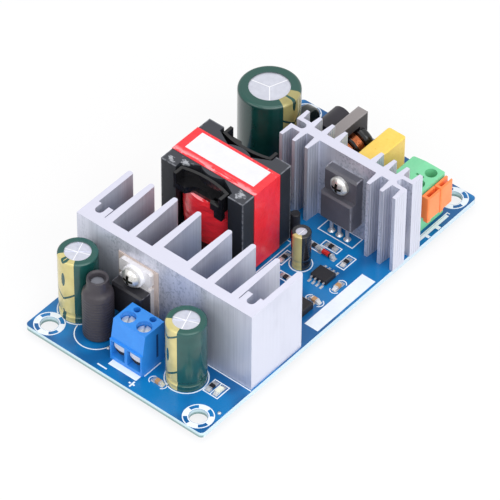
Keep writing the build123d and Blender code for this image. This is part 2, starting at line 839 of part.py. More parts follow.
electrolytic("bulk_capacitor", bulk_x, bulk_y, bulk_radius, bulk_height, bulk_sleeve,
             bulk_vent_radius, (-50, 70, 190))
for number, (x, y) in enumerate(output_cap_places, start=1):
    electrolytic(f"output_capacitor_{number}", x, y, output_cap_radius, output_cap_height,
                 output_cap_sleeve, output_cap_vent_radius, (40, 130, 220, 310))
electrolytic("small_capacitor", small_cap_x, small_cap_y, small_cap_radius, small_cap_height,
             small_cap_sleeve, small_cap_vent_radius, (0, 180))

bulk_lead_points = [(bulk_x + side * bulk_lead_pitch / 2, bulk_y) for side in (-1, 1)]
output_cap_lead_points = [(x, y + side * output_cap_lead_pitch / 2)
                          for x, y in output_cap_places for side in (-1, 1)]
small_cap_lead_points = [(small_cap_x, small_cap_y + side * small_cap_lead_pitch / 2)
                         for side in (-1, 1)]

with BuildPart() as capacitor_leads:
    with BuildSketch(Plane.XY.offset(lead_drop)):
        with Locations(*bulk_lead_points):
            Circle(bulk_lead_radius)
        with Locations(*output_cap_lead_points):
            Circle(output_cap_lead_radius)
        with Locations(*small_cap_lead_points):
            Circle(small_cap_lead_radius)
    extrude(amount=board_thickness + can_lift)
save(capacitor_leads.part, "capacitor_leads")
solder_leads(bulk_lead_points, bulk_lead_radius)
solder_leads(output_cap_lead_points, output_cap_lead_radius)
solder_leads(small_cap_lead_points, small_cap_lead_radius)

# Output choke: rod, winding and a sleeve that necks in above the winding
choke_axis = Axis((choke_x, choke_y, 0), (0, 0, 1))
choke_bottom = board_top + choke_lift

with BuildPart() as choke_rod:
    with BuildSketch(Plane.XY.offset(choke_bottom)):
        with Locations((choke_x, choke_y)):
            Circle(choke_rod_radius)
    extrude(amount=choke_rod_top - choke_lift)
save(choke_rod.part, "choke_rod")

with BuildPart() as choke_winding:
    with BuildSketch(Plane.XY.offset(choke_bottom)):
        with Locations((choke_x, choke_y)):
            Circle(choke_winding_radius)
            Circle(choke_rod_radius + fit_gap, mode=Mode.SUBTRACT)
    extrude(amount=choke_winding_height)
save(choke_winding.part, "choke_winding")

with BuildPart() as choke_sleeve:
    with BuildSketch(Plane.XZ.offset(-choke_y)):
        with BuildLine():
            Polyline((choke_x + choke_sleeve_radius - choke_sleeve_wall, choke_bottom),
                     (choke_x + choke_sleeve_radius, choke_bottom),
                     (choke_x + choke_sleeve_radius, board_top + choke_shoulder_height),
                     (choke_x + choke_neck_radius, board_top + choke_neck_start),
                     (choke_x + choke_neck_radius, board_top + choke_sleeve_top),
                     (choke_x + choke_neck_radius - choke_sleeve_wall, board_top + choke_sleeve_top),
                     (choke_x + choke_neck_radius - choke_sleeve_wall, board_top + choke_neck_start),
                     (choke_x + choke_sleeve_radius - choke_sleeve_wall,
                      board_top + choke_shoulder_height - choke_sleeve_wall),
                     close=True)
        make_face()
    revolve(axis=choke_axis)
save(choke_sleeve.part, "choke_sleeve")

# Output terminal block: one moulding, cut by the bores and chambers of its poles
dc_front = dc_back - dc_depth
dc_pole_ys = [dc_y + side * dc_pitch / 2 for side in (-1, 1)]
dc_bore_x = dc_back - dc_bore_setback
dc_chamber_width = clamp_width + 2 * clamp_play
dc_chamber_depth = dc_chamber_front + dc_chamber_rear
dc_chamber_x = dc_bore_x + dc_chamber_rear - dc_chamber_depth / 2
dc_pin_points = [(dc_bore_x + dc_chamber_rear - contact_thickness / 2, y) for y in dc_pole_ys]

with BuildPart() as dc_housing:
    with BuildSketch(Plane.XZ.offset(-dc_y + dc_pitch)):
        with BuildLine():
            Polyline((dc_back, board_top), (dc_front, board_top),
                     (dc_front, board_top + dc_ledge_height),
                     (dc_back - dc_ledge_depth, board_top + dc_ledge_height),
                     (dc_back - dc_top_depth, board_top + dc_height),
                     (dc_back, board_top + dc_height), close=True)
        make_face()
    extrude(amount=-2 * dc_pitch)
    with BuildSketch(Plane.XY.offset(board_top + dc_height)):
        with Locations(*[(dc_bore_x, y) for y in dc_pole_ys]):
            Circle(dc_bore_radius)
    extrude(amount=-(dc_height - dc_screw_seat), mode=Mode.SUBTRACT)
    with BuildSketch(Plane.XY.offset(board_top + dc_screw_seat)):
        with Locations(*[(dc_bore_x, y) for y in dc_pole_ys]):
            Circle(dc_guide_radius)
    extrude(amount=-(dc_screw_seat - dc_chamber_top), mode=Mode.SUBTRACT)
    with BuildSketch(Plane.XY.offset(board_top + dc_height)):
        with Locations(*[(dc_back - dc_probe_setback, y) for y in dc_pole_ys]):
            Circle(dc_probe_radius)
    extrude(amount=-dc_probe_depth, mode=Mode.SUBTRACT)
    with BuildSketch(Plane.XY.offset(board_top + dc_floor)):
        with Locations(*[(dc_chamber_x, y) for y in dc_pole_ys]):
            Rectangle(dc_chamber_depth, dc_chamber_width)
    extrude(amount=dc_chamber_top - dc_floor, mode=Mode.SUBTRACT)
    with BuildSketch(Plane.XY.offset(board_top + dc_floor)):
        with Locations(*[(dc_bore_x, y) for y in dc_pole_ys]):
            Rectangle(dc_depth, dc_chamber_width, align=(Align.MAX, Align.CENTER))
    extrude(amount=dc_window_height, mode=Mode.SUBTRACT)
    with BuildSketch(Plane.XY.offset(board_top)):
        with Locations(*dc_pin_points):
            Rectangle(dc_pin + fit_gap, dc_pin + fit_gap)
    extrude(amount=dc_floor, mode=Mode.SUBTRACT)
save(dc_housing.part, "dc_terminal_housing")

# Each pole: a clamp cage that its screw lifts, and the fixed contact with its pin
clamp_bottom = board_top + clamp_lift
clamp_opening = clamp_height - clamp_top_wall - clamp_floor
contact_top = clamp_bottom + clamp_floor + clamp_opening - contact_play

for number, pole_y in enumerate(dc_pole_ys, start=1):
    with BuildPart() as clamp:
        with BuildSketch(Plane.YZ.offset(dc_bore_x - clamp_depth / 2)):
            with Locations((pole_y, clamp_bottom + clamp_height / 2)):
                Rectangle(clamp_width, clamp_height)
            with Locations((pole_y, clamp_bottom + clamp_floor + clamp_opening / 2)):
                Rectangle(clamp_width - 2 * clamp_side_wall, clamp_opening, mode=Mode.SUBTRACT)
        extrude(amount=clamp_depth)
        with Locations((dc_bore_x, pole_y, clamp_bottom + clamp_height)):
            Hole(dc_screw_radius + dc_screw_running_gap, depth=clamp_top_wall)
    save(clamp.part, f"dc_clamp_{number}")

    with BuildPart() as clamp_screw:
        with BuildSketch(Plane.XY.offset(board_top + dc_screw_seat)):
            with Locations((dc_bore_x, pole_y)):
                Circle(dc_screw_head_radius)
        extrude(amount=dc_screw_head)
        with BuildSketch(Plane.XY.offset(board_top + dc_screw_seat)):
            with Locations((dc_bore_x, pole_y)):
                Circle(dc_screw_radius)
        extrude(amount=contact_top + contact_play - board_top - dc_screw_seat)
        with BuildSketch(Plane.XY.offset(board_top + dc_screw_seat + dc_screw_head)):
            with Locations((dc_bore_x, pole_y)):
                Rectangle(2 * dc_screw_head_radius, dc_slot_width, rotation=30)
        extrude(amount=-dc_slot_depth, mode=Mode.SUBTRACT)
    save(clamp_screw.part, f"dc_screw_{number}")

contact_rear = dc_bore_x + dc_chamber_rear
contact_floor = board_top + dc_floor
with BuildPart() as dc_contacts:
    with BuildSketch(Plane.XY.offset(contact_top - contact_thickness)):
        with Locations(*[(contact_rear, y) for y in dc_pole_ys]):
            Rectangle(dc_chamber_depth, contact_width, align=(Align.MAX, Align.CENTER))
    extrude(amount=contact_thickness)
    with BuildSketch(Plane.XY.offset(contact_floor)):
        with Locations(*[(contact_rear, y) for y in dc_pole_ys]):
            Rectangle(contact_thickness, contact_width, align=(Align.MAX, Align.CENTER))
    extrude(amount=contact_top - contact_floor)
save(dc_contacts.part, "dc_contacts")

# Mains terminal block: the top falls a little towards the back, the levers stand in front
ac_width = ac_poles * ac_pitch + ac_side_wall
ac_left = ac_right - ac_width
ac_back = ac_front + ac_depth
ac_pole_xs = [ac_left + ac_side_wall / 2 + ac_pitch * (step + 0.5) for step in range(ac_poles)]
lever_pivot_y = ac_front + lever_lip + lever_hub_radius + lever_hub_clearance
lever_pivot_z = board_top + lever_pivot_height

with BuildPart() as ac_housing:
    with BuildSketch(Plane.YZ.offset(ac_left)):
        with BuildLine():
            Polyline((ac_front, board_top), (ac_front, board_top + ac_height),
                     (ac_back - ac_crease_setback, board_top + ac_height),
                     (ac_back, board_top + ac_back_height), (ac_back, board_top), close=True)
        make_face()
    extrude(amount=ac_width)
    fillet(ac_housing.edges().filter_by(Axis.Z), radius=ac_edge_radius)
    with BuildSketch(Plane.XY.offset(board_top + ac_height)):
        with Locations(*[(x, ac_back - ac_entry_setback) for x in ac_pole_xs]):
            Circle(ac_entry_radius)
    extrude(amount=-ac_entry_depth, mode=Mode.SUBTRACT)
    with BuildSketch(Plane.XY.offset(board_top + ac_height)):
        with Locations(((ac_left + ac_right) / 2, ac_back - ac_probe_setback)):
            Rectangle(ac_probe_slot, ac_probe_length)
    extrude(amount=-ac_probe_depth, mode=Mode.SUBTRACT)
    for pole_x in ac_pole_xs:
        seat_length = lever_hub_length + 2 * lever_hub_clearance
        with BuildSketch(Plane.YZ.offset(pole_x - seat_length / 2)):
            with Locations((lever_pivot_y, lever_pivot_z)):
                Circle(lever_hub_radius + lever_hub_clearance)
            with Locations((lever_pivot_y, lever_pivot_z)):
                Rectangle(2 * (lever_pivot_y - ac_front), lever_mouth, align=(Align.MAX, Align.CENTER))
        extrude(amount=seat_length, mode=Mode.SUBTRACT)
save(ac_housing.part, "ac_terminal_housing")

lever_back = ac_front - lever_stand_off
lever_width = ac_pitch - lever_gap
lever_span = lever_top - lever_bottom
for number, pole_x in enumerate(ac_pole_xs, start=1):
    with BuildPart() as lever:
        with BuildSketch(Plane.XY.offset(board_top + lever_bottom)):
            with Locations((pole_x, lever_back)):
                Rectangle(lever_width, lever_depth, align=(Align.CENTER, Align.MAX))
        extrude(amount=lever_span)
        lever_front_corners = lever.edges().filter_by(Axis.Z).group_by(Axis.Y)[0]
        fillet(lever_front_corners, radius=ac_edge_radius)
        with BuildSketch(Plane.XY.offset(board_top + lever_top)):
            with Locations((pole_x, lever_back - lever_wall)):
                Rectangle(lever_width - 2 * lever_wall, lever_depth - 2 * lever_wall,
                          align=(Align.CENTER, Align.MAX))
        extrude(amount=-lever_pocket_depth, mode=Mode.SUBTRACT)
        with BuildSketch(Plane.XY.offset(board_top + lever_bottom)):
            with Locations((pole_x - lever_width / 2, lever_back - lever_wall)):
                Rectangle(lever_toe_width, lever_depth - lever_wall - ac_edge_radius,
                          align=(Align.MIN, Align.MAX))
        extrude(amount=-lever_toe_drop)
        with BuildSketch(Plane.YZ.offset(pole_x - lever_hub_length / 2)):
            with Locations((lever_pivot_y, lever_pivot_z)):
                Circle(lever_hub_radius)
                Rectangle(lever_pivot_y - lever_back, lever_neck, align=(Align.MAX, Align.CENTER))
        extrude(amount=lever_hub_length)
    save(lever.part, f"ac_lever_{number}")

ac_pin_points = [(x, ac_back - ac_entry_setback) for x in ac_pole_xs]
with BuildPart() as terminal_pins:
    with BuildSketch(Plane.XY.offset(lead_drop)):
        with Locations(*ac_pin_points):
            Rectangle(ac_pin, ac_pin)
    extrude(amount=board_thickness)
    with BuildSketch(Plane.XY.offset(lead_drop)):
        with Locations(*dc_pin_points):
            Rectangle(dc_pin, dc_pin)
    extrude(amount=board_thickness + dc_floor)
save(terminal_pins.part, "terminal_pins")
solder_leads(ac_pin_points, ac_pin * 0.71)
solder_leads(dc_pin_points, dc_pin * 0.71)

# Mains filter capacitor: a moulded box
with BuildPart() as filter_capacitor:
    with BuildSketch(Plane.XY.offset(board_top)):
        with Locations((x_cap_x, x_cap_y)):
            Rectangle(x_cap_length, x_cap_width)
    extrude(amount=x_cap_height)
    fillet(filter_capacitor.edges().filter_by(Axis.Z), radius=x_cap_edge)
    fillet(filter_capacitor.faces().sort_by(Axis.Z)[-1].edges(), radius=x_cap_edge / 2)
save(filter_capacitor.part, "filter_capacitor")

# Line choke: a closed ferrite frame, a bobbin of three flanges on its lower bar and two windings
line_bar_z = board_top + line_core_bottom + line_core_bar / 2
line_half = line_bobbin_length / 2
line_foot_height = line_bar_z - board_top - line_winding_radius - fit_gap
section_length = (line_bobbin_length - 3 * line_bobbin_flange) / 2

with BuildPart() as line_core:
    with BuildSketch(Plane.XZ.offset(-line_choke_y - line_core_width / 2)):
        with Locations((line_choke_x, board_top + (line_core_bottom + line_core_top) / 2)):
            Rectangle(line_core_length, line_core_top - line_core_bottom)
            Rectangle(line_core_length - 2 * line_core_bar,
                      line_core_top - line_core_bottom - 2 * line_core_bar, mode=Mode.SUBTRACT)
    extrude(amount=line_core_width)
save(line_core.part, "line_choke_core")

with BuildPart() as line_bobbin:
    with BuildSketch(Plane.YZ.offset(line_choke_x - line_half)):
        with Locations((line_choke_y, line_bar_z)):
            Circle(line_bobbin_tube)
    extrude(amount=line_bobbin_length)
    for step in range(3):
        start = line_choke_x - line_half + step * (line_bobbin_flange + section_length)
        with BuildSketch(Plane.YZ.offset(start)):
            with Locations((line_choke_y, line_bar_z)):
                Circle(line_bobbin_radius)
        extrude(amount=line_bobbin_flange)
    with BuildSketch(Plane.XY.offset(board_top)):
        with Locations((line_choke_x, line_choke_y)):
            Rectangle(line_bobbin_length, 2 * line_bobbin_radius)
    extrude(amount=line_foot_height)
    with BuildSketch(Plane.YZ.offset(line_choke_x - line_half)):
        with Locations((line_choke_y, line_bar_z)):
            Rectangle(line_core_width + 2 * fit_gap, line_core_bar + 2 * fit_gap)
    extrude(amount=line_bobbin_length, mode=Mode.SUBTRACT)
save(line_bobbin.part, "line_choke_bobbin")

with BuildPart() as line_windings:
    for step in range(2):
        start = line_choke_x - line_half + line_bobbin_flange
        start = start + step * (line_bobbin_flange + section_length)
        with BuildSketch(Plane.YZ.offset(start)):
            with Locations((line_choke_y, line_bar_z)):
                Circle(line_winding_radius)
                Circle(line_bobbin_tube + fit_gap, mode=Mode.SUBTRACT)
        extrude(amount=section_length)
save(line_windings.part, "line_choke_windings")

# Fuse: a moulded slab with an arched top
with BuildPart() as fuse:
    with BuildSketch(Plane.YZ.offset(fuse_x - fuse_length / 2)):
        with BuildLine():
            Polyline((fuse_y - fuse_width / 2, board_top + fuse_height - fuse_arch),
                     (fuse_y - fuse_width / 2, board_top + fuse_lift),
                     (fuse_y + fuse_width / 2, board_top + fuse_lift),
                     (fuse_y + fuse_width / 2, board_top + fuse_height - fuse_arch))
            ThreePointArc((fuse_y + fuse_width / 2, board_top + fuse_height - fuse_arch),
                          (fuse_y, board_top + fuse_height),
                          (fuse_y - fuse_width / 2, board_top + fuse_height - fuse_arch))
        make_face()
    extrude(amount=fuse_length)
save(fuse.part, "fuse")

# Inrush thermistor: a lacquered disc standing on its leads
with BuildPart() as thermistor:
    with BuildSketch(Plane.XZ.offset(-thermistor_y - thermistor_thickness / 2)):
        with Locations((thermistor_x, board_top + thermistor_lift + thermistor_radius)):
            Circle(thermistor_radius)
    extrude(amount=thermistor_thickness)
    fillet(thermistor.edges(), radius=thermistor_thickness / 4)
save(thermistor.part, "thermistor")

# Small radial choke: a moulded cylinder behind the small capacitor
with BuildPart() as small_choke:
    with BuildSketch(Plane.XY.offset(board_top + small_choke_lift)):
        with Locations((small_choke_x, small_choke_y)):
            Circle(small_choke_radius)
    extrude(amount=small_choke_height - small_choke_lift)
    fillet(small_choke.faces().sort_by(Axis.Z)[-1].edges(), radius=small_choke_edge)
save(small_choke.part, "small_choke")

# Round leads of the filter and protection parts and of both chokes
x_cap_lead_points = [(x_cap_x + side * x_cap_lead_pitch / 2, x_cap_y) for side in (-1, 1)]
line_pin_points = [(line_choke_x + a * line_pin_pitch / 2, line_choke_y + b * line_pin_row / 2)
                   for a in (-1, 1) for b in (-1, 1)]
fuse_lead_points = [(fuse_x + side * fuse_lead_pitch / 2, fuse_y) for side in (-1, 1)]
thermistor_lead_points = [(thermistor_x + side * thermistor_lead_pitch / 2, thermistor_y)
                          for side in (-1, 1)]
choke_lead_points = [(choke_x, choke_y + side * choke_lead_pitch / 2) for side in (-1, 1)]
small_choke_lead_points = [(small_choke_x + side * small_choke_lead_pitch / 2, small_choke_y)
                           for side in (-1, 1)]
thermistor_reach = thermistor_lead_pitch / 2 - thermistor_lead_radius
thermistor_sag = thermistor_radius - (thermistor_radius ** 2 - thermistor_reach ** 2) ** 0.5

with BuildPart() as wire_leads:
    with BuildSketch(Plane.XY.offset(lead_drop)):
        with Locations(*x_cap_lead_points):
            Circle(x_cap_lead_radius)
        with Locations(*line_pin_points):
            Circle(line_pin_radius)
    extrude(amount=board_thickness)
    with BuildSketch(Plane.XY.offset(lead_drop)):
        with Locations(*fuse_lead_points):
            Circle(fuse_lead_radius)
    extrude(amount=board_thickness + fuse_lift)
    with BuildSketch(Plane.XY.offset(lead_drop)):
        with Locations(*thermistor_lead_points):
            Circle(thermistor_lead_radius)
    extrude(amount=board_thickness + thermistor_lift + thermistor_sag - fit_gap)
    with BuildSketch(Plane.XY.offset(lead_drop)):
        with Locations(*choke_lead_points):
            Circle(choke_lead_radius)
    extrude(amount=board_thickness + choke_lift)
    with BuildSketch(Plane.XY.offset(lead_drop)):
        with Locations(*small_choke_lead_points):
            Circle(small_choke_lead_radius)
    extrude(amount=board_thickness + small_choke_lift)
save(wire_leads.part, "wire_leads")
solder_leads(x_cap_lead_points, x_cap_lead_radius)
solder_leads(line_pin_points, line_pin_radius)
solder_leads(fuse_lead_points, fuse_lead_radius)
solder_leads(thermistor_lead_points, thermistor_lead_radius)
solder_leads(choke_lead_points, choke_lead_radius)
solder_leads(small_choke_lead_points, small_choke_lead_radius)


def flat_package(x, y, width, length, height):
    """A moulded package body with bevelled sides, standing a little off the board."""
    with BuildPart() as body:
        with BuildSketch(Plane.XY.offset(board_top + chip_stand_off)):
            with Locations((x, y)):
                Rectangle(width, length)
        extrude(amount=height)
        chamfer(body.faces().sort_by(Axis.Z)[-1].edges(), length=chip_lead_thickness)
    return body.part


def gull_leads(x, y, width, height, span, pitch, count):
    """Rows of bent leads on both sides: out of the body, down, and flat on the pads."""
    middle = board_top + chip_stand_off + height / 2
    with BuildPart() as lead_rows:
        for side in (-1, 1):
            for step in range(count):
                lead_y = y + (step - (count - 1) / 2) * pitch
                inner = x + side * width / 2
                knee = x + side * (width / 2 + (span - width) / 4)
                toe = x + side * span / 2
                with BuildSketch(Plane.XZ.offset(-lead_y - chip_lead_width / 2)):
                    with BuildLine():
                        Polyline((inner, middle), (knee, middle),
                                 (knee + side * chip_lead_thickness, board_top + chip_lead_thickness),
                                 (toe, board_top + chip_lead_thickness), (toe, board_top),
                                 (knee, board_top),
                                 (knee - side * chip_lead_thickness, middle - chip_lead_thickness),
                                 (inner, middle - chip_lead_thickness), close=True)
                    make_face()
                extrude(amount=chip_lead_width)
    return lead_rows.part


# Controller chip and feedback coupler
controller_body = flat_package(chip_x, chip_y, chip_body_width, chip_body_length, chip_body_height)
save(controller_body, "controller_chip")
opto_body = flat_package(opto_x, opto_y, opto_body_width, opto_body_length, opto_body_height)
save(opto_body, "optocoupler")
with BuildPart() as chip_leads:
    add(gull_leads(chip_x, chip_y, chip_body_width, chip_body_height, chip_span,
                   chip_pitch, chip_lead_count))
    add(gull_leads(opto_x, opto_y, opto_body_width, opto_body_height, opto_span,
                   opto_pitch, opto_lead_count))
save(chip_leads.part, "chip_leads")

# Chip resistors and ceramic capacitors: centre and turn of each, with a metal cap at both ends
resistor_places = [(15.9, -11.8, 90), (13.5, -8.3, 90), (14.05, -18.0, 0), (5.4, -5.2, 0),
                   (0.3, -10.0, 90), (output_end + 13.6, -20.15, 0)]
ceramic_places = [(6.15, -21.9, 0), (-1.3, -20.5, 90), (output_end + 6.2, -9.3, 90)]


def passive_bodies(places, height):
    """The ceramic middles of a group of two-ended chips."""
    with BuildPart() as bodies:
        with BuildSketch(Plane.XY.offset(board_top)):
            for x, y, turn in places:
                with Locations((x, y)):
                    Rectangle(passive_length - 2 * passive_end, passive_width, rotation=turn)
        extrude(amount=height)
    return bodies.part


save(passive_bodies(resistor_places, resistor_height), "chip_resistors")
save(passive_bodies(ceramic_places, ceramic_height), "chip_capacitors")

# Metal caps at both ends of every chip and of the glass diode
glass_length = diode_length - 2 * diode_cap
diode_z = board_top + diode_radius
with BuildPart() as end_caps:
    for places, height in ((resistor_places, resistor_height), (ceramic_places, ceramic_height)):
        with BuildSketch(Plane.XY.offset(board_top)):
            for x, y, turn in places:
                for side in (-1, 1):
                    reach = side * (passive_length - passive_end) / 2
                    with Locations((x + reach * cos(radians(turn)), y + reach * sin(radians(turn)))):
                        Rectangle(passive_end, passive_width, rotation=turn)
        extrude(amount=height)
    for side in (-1, 1):
        centre = diode_y + side * (glass_length + diode_cap) / 2
        with BuildSketch(Plane.XZ.offset(-centre - diode_cap / 2)):
            with Locations((diode_x, diode_z)):
                Circle(diode_radius)
        extrude(amount=diode_cap)
save(end_caps.part, "metal_end_caps")

# Glass diode: a small cylinder along Y between its caps
with BuildPart() as glass_diode:
    with BuildSketch(Plane.XZ.offset(-diode_y - glass_length / 2)):
        with Locations((diode_x, diode_z)):
            Circle(diode_radius - fit_gap)
    extrude(amount=glass_length)
save(glass_diode.part, "glass_diode")

# Output indicator: a small clear package
with BuildPart() as indicator:
    with BuildSketch(Plane.XY.offset(board_top)):
        with Locations((led_x, led_y)):
            Rectangle(passive_length, passive_width)
    extrude(amount=led_height)
save(indicator.part, "indicator_lamp")

# Mains bridge rectifier, flat under the board
with BuildPart() as bridge:
    with BuildSketch(Plane.XY.offset(lead_drop)):
        with Locations((bridge_x, bridge_y)):
            Rectangle(bridge_length, bridge_width)
    extrude(amount=-bridge_height)
    chamfer(bridge.faces().sort_by(Axis.Z)[0].edges(), length=chip_lead_thickness)
save(bridge.part, "bridge_rectifier")

# Circuit board: drilled for its four screws and for every lead
with BuildPart() as circuit_board:
    with BuildSketch(Plane.XY.offset(lead_drop)):
        RectangleRounded(board_length, board_width, board_corner_radius)
        with GridLocations(board_length - 2 * mount_inset_x, board_width - 2 * mount_inset_y, 2, 2):
            Circle(mount_hole_radius, mode=Mode.SUBTRACT)
        for x, y, radius, _ in leads:
            with Locations((x, y)):
                Circle(radius + lead_hole_clearance, mode=Mode.SUBTRACT)
    extrude(amount=board_thickness)
save(circuit_board.part, "circuit_board")

# Solder: one cone under each lead
with BuildPart() as solder_joints:
    for x, y, radius, drop in leads:
        with Locations((x, y, lead_drop)):
            Cone(radius + solder_tip_flare, radius + solder_flare, drop,
                 align=(Align.CENTER, Align.CENTER, Align.MAX))
save(solder_joints.part, "solder_joints")
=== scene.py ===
# %% [markdown]
# # An open power supply module, dressed for its portrait
#
# The model is a mains power supply on one blue circuit board: two finned heatsinks, a taped
# transformer, cans, chokes and two terminal blocks. The solids come from a CAD model and carry
# the exact sizes and the motion. This notebook gives each of them the finish of its real
# material, and replaces the few whose surface is too rich for a plain solid.

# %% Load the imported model
import math

import bpy
from mathutils import Matrix, Vector


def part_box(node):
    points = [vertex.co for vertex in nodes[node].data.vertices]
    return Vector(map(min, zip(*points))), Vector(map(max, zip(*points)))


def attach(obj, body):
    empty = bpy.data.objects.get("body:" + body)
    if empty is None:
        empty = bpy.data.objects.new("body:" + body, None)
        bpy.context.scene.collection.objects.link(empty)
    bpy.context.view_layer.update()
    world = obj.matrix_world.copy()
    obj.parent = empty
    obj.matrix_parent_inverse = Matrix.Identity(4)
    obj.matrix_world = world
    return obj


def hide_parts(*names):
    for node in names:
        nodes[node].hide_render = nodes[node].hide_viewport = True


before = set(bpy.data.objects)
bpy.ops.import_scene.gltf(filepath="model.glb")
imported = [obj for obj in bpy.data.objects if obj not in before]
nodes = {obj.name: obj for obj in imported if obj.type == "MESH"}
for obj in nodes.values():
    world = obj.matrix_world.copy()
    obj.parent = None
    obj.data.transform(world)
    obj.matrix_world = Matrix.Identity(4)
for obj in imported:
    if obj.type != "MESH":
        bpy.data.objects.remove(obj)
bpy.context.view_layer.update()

# %% [markdown]
# ## The camera
#
# A photograph fixes the camera if enough known points can be found in it. Here the corners of
# the board, the heatsinks and the cans were matched, which gives an azimuth, an elevation, a
# small roll and a long lens. Building the rotation from its three axes keeps the roll exact,
# where a tracking constraint would lose it.

# %% Camera
MM = 0.001
BOARD_TOP = 3.6
FRAME_PIXELS = 500
SENSOR = 36.0
view_azimuth, view_elevation, view_roll = (math.radians(a) for a in (-50.3277, 44.6984, 0.4872))
view_target = Vector((1.9726, 3.0501, BOARD_TOP)) * MM
view_distance = 1085.2857 * MM
focal_pixels = 4353.476

back = Vector((math.sin(view_azimuth) * math.cos(view_elevation),
               -math.cos(view_azimuth) * math.cos(view_elevation), math.sin(view_elevation)))
level = Vector((math.cos(view_azimuth), math.sin(view_azimuth), 0))
upright = back.cross(level)
rolled_level = level * math.cos(view_roll) + upright * math.sin(view_roll)
rolled_upright = upright * math.cos(view_roll) - level * math.sin(view_roll)

camera = bpy.data.objects.new("camera", bpy.data.cameras.new("camera"))
camera.data.sensor_width = SENSOR
camera.data.lens = focal_pixels * SENSOR / FRAME_PIXELS
camera.data.clip_start, camera.data.clip_end = 0.05, 20
camera.matrix_world = (Matrix.Translation(view_target + back * view_distance)
                       @ Matrix((rolled_level, rolled_upright, back)).transposed().to_4x4())
bpy.context.scene.collection.objects.link(camera)
bpy.context.scene.camera = camera
bpy.context.scene.view_settings.view_transform = "Standard"
print("lens", round(camera.data.lens, 1), "mm at", round(view_distance, 3), "m")

# %% [markdown]
# ## Shader maths as plain Python
#
# Every real surface varies a little from place to place, and in Blender a node tree says how.
# It could be wired by hand, but it is easier to read as a formula. `Wire` wraps one output
# socket, so `a * 2 + b` adds the Math nodes for it, or Vector Math nodes when it carries a
# vector.

# %% Wire
class Wire:
    """An output socket on which ordinary arithmetic adds nodes."""

    def __init__(self, finish, socket):
        self.finish, self.socket = finish, socket

    def work(self, operation, *values):
        kind = "ShaderNodeVectorMath" if self.socket.type == "VECTOR" else "ShaderNodeMath"
        return self.finish.node(kind, {"operation": operation}, values)

    def __add__(self, other):
        return self.work("ADD", self, other)

    def __sub__(self, other):
        return self.work("SUBTRACT", self, other)

    def __rsub__(self, other):
        return self.work("SUBTRACT", other, self)

    def __mul__(self, other):
        return self.work("MULTIPLY", self, other)

    def __truediv__(self, other):
        return self.work("DIVIDE", self, other)

    def __gt__(self, other):
        return self.work("GREATER_THAN", self, other)

    def __lt__(self, other):
        return self.work("LESS_THAN", self, other)

    def __abs__(self):
        return self.work("ABSOLUTE", self)

    __radd__, __rmul__ = __add__, __mul__

    def part(self, axis):
        """One component of a vector: 0, 1 or 2."""
        return self.finish.node("ShaderNodeSeparateXYZ", {}, [self], output=axis)

    def ramp(self, low, high):
        """0 below low, 1 above high, and smooth between them."""
        return self.finish.node("ShaderNodeMapRange", {"interpolation_type": "SMOOTHSTEP"},
                                [self, low, high, 0.0, 1.0])

# %% [markdown]
# ## One finish, one material
#
# A finish is what the eye sees of a piece: its lacquer, its plating or its moulded skin. `Finish`
# holds the material for it. Its method `node` makes any node: first its settings, then its
# socket values or links. The other methods name what the formulas below need most often. What is
# the same all over a surface is set straight on the shader's own sockets.

# %% Finish
OBJECT_PLACE, SURFACE_NORMAL = 3, 1
MIX_SHARE, MIX_FIRST, MIX_SECOND, MIX_RESULT = 0, 6, 7, 2


class Finish:
    """One material, named for what it coats."""

    def __init__(self, name, **constants):
        self.material = bpy.data.materials.new(name)
        self.material.use_nodes = True
        self.tree = self.material.node_tree
        self.shader = self.tree.nodes["Principled BSDF"]
        self.set(**constants)
        self.place = self.node("ShaderNodeTexCoord", output=OBJECT_PLACE) * (1 / MM)

    def node(self, kind, settings=None, values=(), output=0):
        made = self.tree.nodes.new(kind)
        for key, value in (settings or {}).items():
            setattr(made, key, value)
        pairs = values.items() if isinstance(values, dict) else enumerate(values)
        for key, value in pairs:
            self.feed(made.inputs[key], value)
        return Wire(self, made.outputs[output])

    def feed(self, socket, value):
        if isinstance(value, Wire):
            self.tree.links.new(value.socket, socket)
        elif socket.type == "VECTOR" and isinstance(value, (int, float)):
            socket.default_value = (value,) * 3
        else:
            socket.default_value = value

    def set(self, **values):
        """Feeds the shader: base_color=..., roughness=... and so on."""
        for key, value in values.items():
            self.feed(self.shader.inputs[key.replace("_", " ").title().replace("Ior", "IOR")], value)

    def clouds(self, scale, detail=2.0, stretch=(1, 1, 1)):
        """Noise from 0 to 1 with that many lumps a millimetre, stretched along the axes."""
        return self.node("ShaderNodeTexNoise", {},
                         {"Vector": self.place * stretch, "Scale": scale, "Detail": detail})

    def mixed(self, first, second, share):
        """The first colour, with that share of the second in it."""
        values = {MIX_SHARE: share, MIX_FIRST: first, MIX_SECOND: second}
        return self.node("ShaderNodeMix", {"data_type": "RGBA"}, values, MIX_RESULT)

    def facing(self, axis):
        """How far the surface faces along an axis, from -1 to 1."""
        return self.node("ShaderNodeTexCoord", output=SURFACE_NORMAL).part(axis)

    def square_to(self, axis, low=0.6, high=0.9):
        """1 where the surface faces either way along an axis, and 0 where it runs along it."""
        return abs(self.facing(axis)).ramp(low, high)

    def upward(self, low=0.6, high=0.9):
        """1 where the surface faces up, and 0 where it is upright."""
        return self.facing(2).ramp(low, high)

    def maths(self, operation, *values):
        """A Math node that has no operator of its own, such as SINE."""
        return self.node("ShaderNodeMath", {"operation": operation}, values)

    def bump(self, height, depth):
        """A relief of that depth in millimetres."""
        return self.node("ShaderNodeBump", {}, {"Height": height, "Distance": depth * MM})

# %% [markdown]
# ## Colours and coats
#
# Colours are easiest to judge on a screen, where they are written as hex codes, but a shader
# works with linear light. `ink` turns the one into the other. `coat` then puts a finish on
# solids of the CAD model, and leaves their shape alone.

